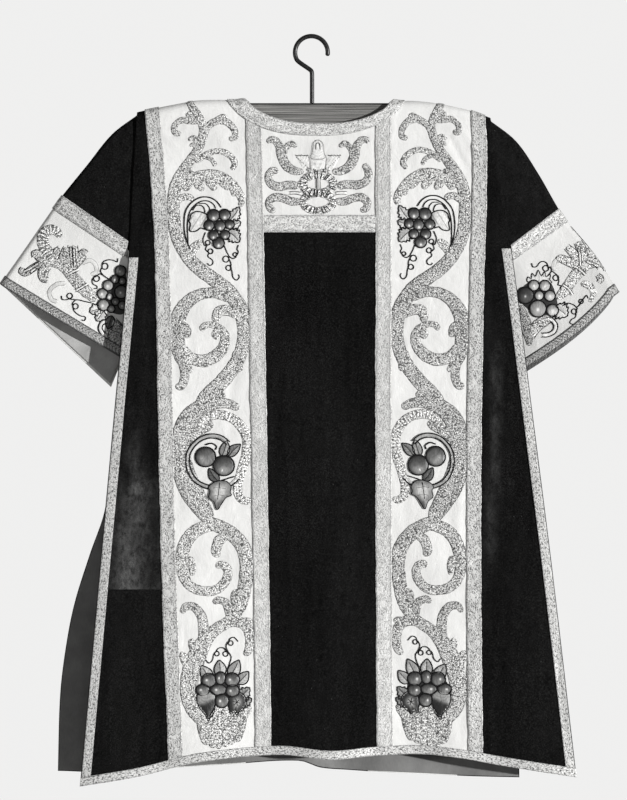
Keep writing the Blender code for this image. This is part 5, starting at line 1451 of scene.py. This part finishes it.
CUFF_RIGHT_BARS = [[(578.5, 247), (579.5, 257), (580, 266)], [(572, 266), (578, 269), (585, 275)], [(562, 285), (568, 289), (572, 295)], [(586, 262), (592, 264), (598, 267)]]


def bar(floss, line, path, width=2.3):
    """A straight raised bar of pale floss with a dark line on each side."""
    horn(floss, line, path, width, 0.26, 2.6)


def edging(line, path, radius=0.36):
    """A thin dark cord down both sides of a band."""
    track, _ = smooth_path(path, 1.3)
    way = np.gradient(track[:, :2], axis=0)
    way /= np.linalg.norm(way, axis=1, keepdims=True) + 1e-9
    for sign in (-1, 1):
        cord(line, [(x - sign * wy * w * 0.49, y + sign * wx * w * 0.49) for (x, y, w), (wx, wy) in zip(track, way)], radius, 0.45)


def horn(floss, line, path, width=3.2, edge=0.42, rise=1.0):
    stroke(floss, [(x, y, width) for x, y in path], rise, 0.97)
    side = []
    for k in range(len(path)):
        a, b = path[max(k - 1, 0)], path[min(k + 1, len(path) - 1)]
        d = np.array([b[0] - a[0], b[1] - a[1]], float)
        d /= np.linalg.norm(d)
        side.append((-d[1], d[0]))
    for sign in (-1, 1):
        cord(line, [(x + sign * s[0] * width * 0.56, y + sign * s[1] * width * 0.56) for (x, y), s in zip(path, side)], edge, 0.5 * rise)


def embroider_cuff(tag, sleeve):
    place = sleeve_place(sleeve)
    purl, floss, line = Work(place), Work(place), Work(place)
    for n, s in enumerate(CUFF_LEFT if tag == "l" else CUFF_RIGHT):
        stroke(purl, s["path"], 1.3, s.get("tone", 0.5), s.get("rib", 0.0), 0.0, n + (200 if tag == "l" else 260))
    for s in CUFF_LEFT if tag == "l" else CUFF_RIGHT:
        if s.get("edged", True):
            edging(line, s["path"], 0.22)
    for path in CUFF_LEFT_FAINT if tag == "l" else CUFF_RIGHT_FAINT:
        stroke(floss, [(x, y, 4.5) for x, y in path], 0.5, 0.93)
    for path in CUFF_LEFT_BARS if tag == "l" else CUFF_RIGHT_BARS:
        bar(floss, line, path)
    def under(px, py, share):
        return np.full(px.shape, 0.12)

    if tag == "l":
        leaf(floss, line, (101, 308), (90, 312), 11, 0, 3, 0.93, 0.12)
        leaf(floss, line, (104, 311), (97, 321), 11, 0, 3, 0.91, 0.12)
        filled(floss, [(106, 281), (113, 276), (121, 268), (126, 272), (127, 300), (123, 314), (110, 312), (101, 307), (100, 295)], (114, 294), 0.5, under, 6)
        # The berries nearest the front panel's edge, from x 115 on, are given lower tones: painted shadow of that edge.
        for gx, gy, gr, light in ((109.8, 296.6, 3.5, 0.84), (108.5, 285.5, 5.3, 0.86), (102.8, 293.8, 5.3, 0.86), (103.6, 305, 5.8, 0.82), (111.4, 308.8, 3.7, 0.84), (115.6, 279.4, 4.2, 0.66), (121, 271, 5.4, 0.66),
                                  (121.6, 292, 6.6, 0.66), (115.6, 301.4, 4.0, 0.60), (122.6, 305.4, 4.4, 0.6), (122.6, 281, 3.8, 0.6)):
            fruit(floss, line, gx, gy, gr, None, 0, 0.58 if light > 0.7 else 0.34, light, (-0.1, 0.05), 1.7, 0.22)
        leaf(floss, line, (112, 316), (108, 329), 9, 0, 0, 0.5)
        tendril(line, [(109, 279), (104.5, 276), (101, 271.5), *curl_loop(105.5, 266.4, 3.1, 160, 1.0), (103.5, 262.5), (108.5, 260), (114, 260.5), (117.6, 262), (118.4, 258.5)])
        tendril(line, [(104.5, 276), (100.5, 274), *curl_loop(97.0, 278.6, 3.0, -70, 1.0), (93, 279), (93.4, 284), (97, 286), (97.4, 288.5), (94.6, 288.6)])
        tendril(line, [(92, 303), (85, 301.5), (77, 300), (73, 303.5), *curl_loop(76.0, 306.4, 2.7, 200, 1.0), (74.6, 311), (80, 315.5), (85.6, 317), (85, 320.5), (82, 320)])
        tendril(line, [(77, 300), (71.6, 299.4), *curl_loop(70.2, 296, 2.7, 90, -1.0), (66, 300), (62.6, 299.4), (61.8, 296)])
        horn(floss, line, [(107.5, 321), (102.5, 323), (100.5, 328.5), (103.5, 334.5)], 3.6, 0.62)
    else:
        crest = [(527.5, 282), (527.6, 277), (530.6, 279), (531.6, 273.5), (535, 276.5), (537.8, 270.5), (540.8, 276), (544.2, 272), (545.4, 277), (549.8, 274.6), (549.4, 280), (551, 283), (540, 284)]
        filled(floss, crest, (539, 279), 0.8, lambda px, py, share: np.clip(0.93 - 0.3 * (np.abs(np.sin(px * 0.7)) < 0.25), 0, 1), 6)
        cord(line, crest, 0.5, 0.5, closed=True)
        leaf(floss, line, (555, 307), (567, 316), 16, 0, 5, 0.90, 0.14)
        filled(floss, [(529, 282), (540, 280), (550, 283), (555, 294), (557, 307), (552, 316), (540, 318), (528, 310), (519, 300), (519, 291)], (538, 298), 0.5, under, 6)
        # The large berry at the front panel's edge, at x 525, is given a dark tone: painted shadow of that edge.
        for gx, gy, gr, light in ((525, 295.5, 8.4, 0.42), (538.8, 295.6, 4.6, 0.88), (533.4, 285.6, 5.4, 0.84), (544.4, 286, 5.6, 0.86), (549.4, 296, 5.4, 0.86),
                                  (537.6, 308.8, 8.4, 0.76), (552, 310.4, 6.0, 0.92)):
            fruit(floss, line, gx, gy, gr, None, 0, 0.64 if light > 0.7 else 0.42 if light > 0.5 else 0.10, light, (0.0, 0.05), 1.7, 0.20)
        tendril(line, [(547.6, 276), (551, 271), (549.6, 267), *curl_loop(545.2, 268.6, 2.8, 10, -1.0), (546, 263.2), (540.5, 262), (536, 266.8), (532.4, 267), (531, 263.4)])
        tendril(line, [(551, 271), (554.4, 273.4), *curl_loop(555.4, 278.0, 2.8, -60, -1.0), (558.4, 281), (557.6, 285), (560.6, 286), (559.6, 288.6)])
        tendril(line, [(562, 306), (567, 303.4), (573, 305), (576.6, 308.6), *curl_loop(573.6, 311.6, 2.6, -40, -1.0), (575, 317), (571, 319.6), (569.4, 323), (572, 324.4)])
        tendril(line, [(576, 308), (579.6, 304.4), *curl_loop(580.6, 301.6, 2.2, 120, 1.0), (583.4, 298.4), (586, 295.6), (587.8, 298.6)])
        horn(floss, line, [(545, 319), (551, 320), (555.2, 325.4), (553.6, 331.6), (547.6, 334.8), (541.4, 335.2)], 3.6, 0.62)
    return [purl.build(f"embroidery_cuff_{tag}", PURL, "galloon"), floss.build(f"fruit_cuff_{tag}", FLOSS, "silk", 60), line.build(f"outlines_cuff_{tag}", OUTLINE, "velvet")]


# ---------------------------------------------------------------- hanger
def build_hook():
    """The bent wire, as a round tube along the solid's own line, with a rounded free end."""
    centre = np.array([HOOK_X, -(HOOK_R - WIRE_R)])
    path = [centre + HOOK_R * np.array([math.cos(math.radians(a)), math.sin(math.radians(a))]) for a in np.linspace(-8, 212, 60)]
    neck, foot = np.array([SHANK_X, -HOOK_NECK]), np.array([SHANK_X, -(BAR_TOP - SEAM_GAP)])
    path += [path[-1] + (neck - path[-1]) * t for t in (0.2, 0.35, 0.55, 0.7, 0.82, 0.9, 0.97)]
    path += [neck + (foot - neck) * t for t in (0.02, 0.06, 0.15, 0.3, 0.5, 0.65, 0.85, 1)]
    path = np.array(path)
    for _ in range(3):
        path[1:-1] = 0.25 * path[:-2] + 0.5 * path[1:-1] + 0.25 * path[2:]
    way = np.gradient(path, axis=0)
    way /= np.linalg.norm(way, axis=1, keepdims=True)
    side = np.stack([-way[:, 1], way[:, 0]], 1)
    sides = 20
    a = np.linspace(0, 2 * math.pi, sides, endpoint=False)
    radius = np.where(path[:, 1] > -54, WIRE_R + 0.45, WIRE_R + 0.35)
    rings = []
    for k, r in enumerate(radius):
        x = path[k, 0] + side[k, 0] * r * np.cos(a)
        z = path[k, 1] + side[k, 1] * r * np.cos(a)
        rings.append(np.stack([x, r * np.sin(a), z], 1))
    for share in (0.5, 0.85, 0.99):
        r = WIRE_R * math.sqrt(1 - share ** 2)
        c = path[0] - way[0] * WIRE_R * share * 0.7
        rings.insert(0, np.stack([c[0] + side[0, 0] * r * np.cos(a), r * np.sin(a), c[1] + side[0, 1] * r * np.cos(a)], 1))
    points = np.concatenate(rings)
    n = len(rings)
    faces = [(i * sides + j, i * sides + (j + 1) % sides, (i + 1) * sides + (j + 1) % sides, (i + 1) * sides + j) for i in range(n - 1) for j in range(sides)]
    faces += [tuple(range(sides - 1, -1, -1)), tuple((n - 1) * sides + j for j in range(sides))]
    add("hanger_hook_fine", mesh_of("hanger_hook_fine", points, faces, None, None, 50), IRON, "hanger_hook")


def outward_faces():
    """Turns each closed piece's faces outwards."""
    for obj in MADE.values():
        mesh = obj.data
        count = len(mesh.vertices)
        co = np.empty(count * 3, np.float32)
        mesh.vertices.foreach_get("co", co)
        mesh.calc_loop_triangles()
        tri = np.empty(len(mesh.loop_triangles) * 3, np.int32)
        mesh.loop_triangles.foreach_get("vertices", tri)
        p = co.reshape(-1, 3).astype(float)[tri.reshape(-1, 3)]
        if np.einsum("ij,ij->i", p[:, 0], np.cross(p[:, 1], p[:, 2])).sum() < 0:
            mesh.flip_normals()


def repaint(node, material):
    for obj in bpy.context.scene.objects:
        if obj.get("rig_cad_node") == node:
            for slot in obj.material_slots:
                slot.material = material


build_half(FRONT, "front", True)
build_half(BACK, "back", False)
build_neck()
build_linings()
build_sleeve("l", LEFT)
build_sleeve("r", RIGHT)
build_hook()
repaint("hanger_bar", WOOD)
extras = {
    "front_orphrey_l_fine": embroider_orphrey("l", body_place(FRONT)),
    "front_orphrey_r_fine": embroider_orphrey("r", body_place(FRONT, True)),
    "front_apron_fine": embroider_apron(),
    "cuff_l_fine": embroider_cuff("l", LEFT),
    "cuff_r_fine": embroider_cuff("r", RIGHT),
}
outward_faces()

# ---------------------------------------------------------------- camera, light and floor
AIM_X, AIM_Z, TALL, FAR = 0.0023, -0.561, 1.24, 7.0
camera_data = bpy.data.cameras.new("camera")
camera_data.sensor_fit, camera_data.sensor_height, camera_data.sensor_width = "VERTICAL", 24.0, 18.81
camera_data.lens = 24.0 * FAR / TALL
camera = bpy.data.objects.new("camera", camera_data)
camera.location, camera.rotation_euler = (AIM_X, -FAR, AIM_Z), (math.radians(90), 0, 0)
bpy.context.scene.collection.objects.link(camera)
bpy.context.scene.camera = camera


def lamp(name, place, target, size, power):
    data = bpy.data.lights.new(name, "AREA")
    data.shape, data.size, data.energy = "DISK", size, power
    made = bpy.data.objects.new(name, data)
    made.location = place
    d = np.array(target, float) - np.array(place, float)
    made.rotation_euler = (math.atan2(math.hypot(d[0], d[1]), -d[2]), 0, math.atan2(-d[0], d[1]) if d[1] or d[0] else 0)
    bpy.context.scene.collection.objects.link(made)
    return made


lamp("lamp_right", (17.5, -13.6, -0.4), (0, 0, -0.55), 0.52, 9000)
lamp("lamp_left", (-5.2, -4.6, -0.2), (0, 0, -0.55), 0.4, 80)
lamp("lamp_front", (0.2, -5.5, 0.6), (0, 0, -0.55), 2.5, 12)

floor_mesh = bpy.data.meshes.new("floor")
disc = [(2.6 * math.cos(2 * math.pi * k / 96), 2.6 * math.sin(2 * math.pi * k / 96), -1.62) for k in range(96)]
floor_mesh.from_pydata(disc, [], [tuple(range(96))])
floor_nodes = Nodes("pale_floor")
floor_mesh.materials.append(floor_nodes.finish(floor_nodes.colour(floor_nodes.noise(floor_nodes.place, 3, 3), [(0.3, 0.70), (0.7, 0.74)]), 0.8))
floor = bpy.data.objects.new("floor", floor_mesh)
bpy.context.scene.collection.objects.link(floor)

# The pale wall lies behind the garment, and the room in front of it is darker.
world = bpy.data.worlds.new("studio")
world.use_nodes = True
tree = world.node_tree
way = tree.nodes.new("ShaderNodeTexCoord")
parts = tree.nodes.new("ShaderNodeSeparateXYZ")
tree.links.new(way.outputs["Generated"], parts.inputs[0])
share = tree.nodes.new("ShaderNodeMapRange")
share.inputs["From Min"].default_value, share.inputs["From Max"].default_value = -0.05, 0.7
tree.links.new(parts.outputs["Y"], share.inputs["Value"])
mix = tree.nodes.new("ShaderNodeMix")
mix.data_type = "RGBA"
mix.inputs[6].default_value, mix.inputs[7].default_value = (0.050, 0.050, 0.050, 1), (0.868, 0.867, 0.862, 1)
tree.links.new(share.outputs["Result"], mix.inputs[0])
tree.links.new(mix.outputs[2], tree.nodes["Background"].inputs["Color"])
tree.nodes["Background"].inputs["Strength"].default_value = 1.0
bpy.context.scene.world = world
bpy.context.scene.view_settings.view_transform = "Standard"
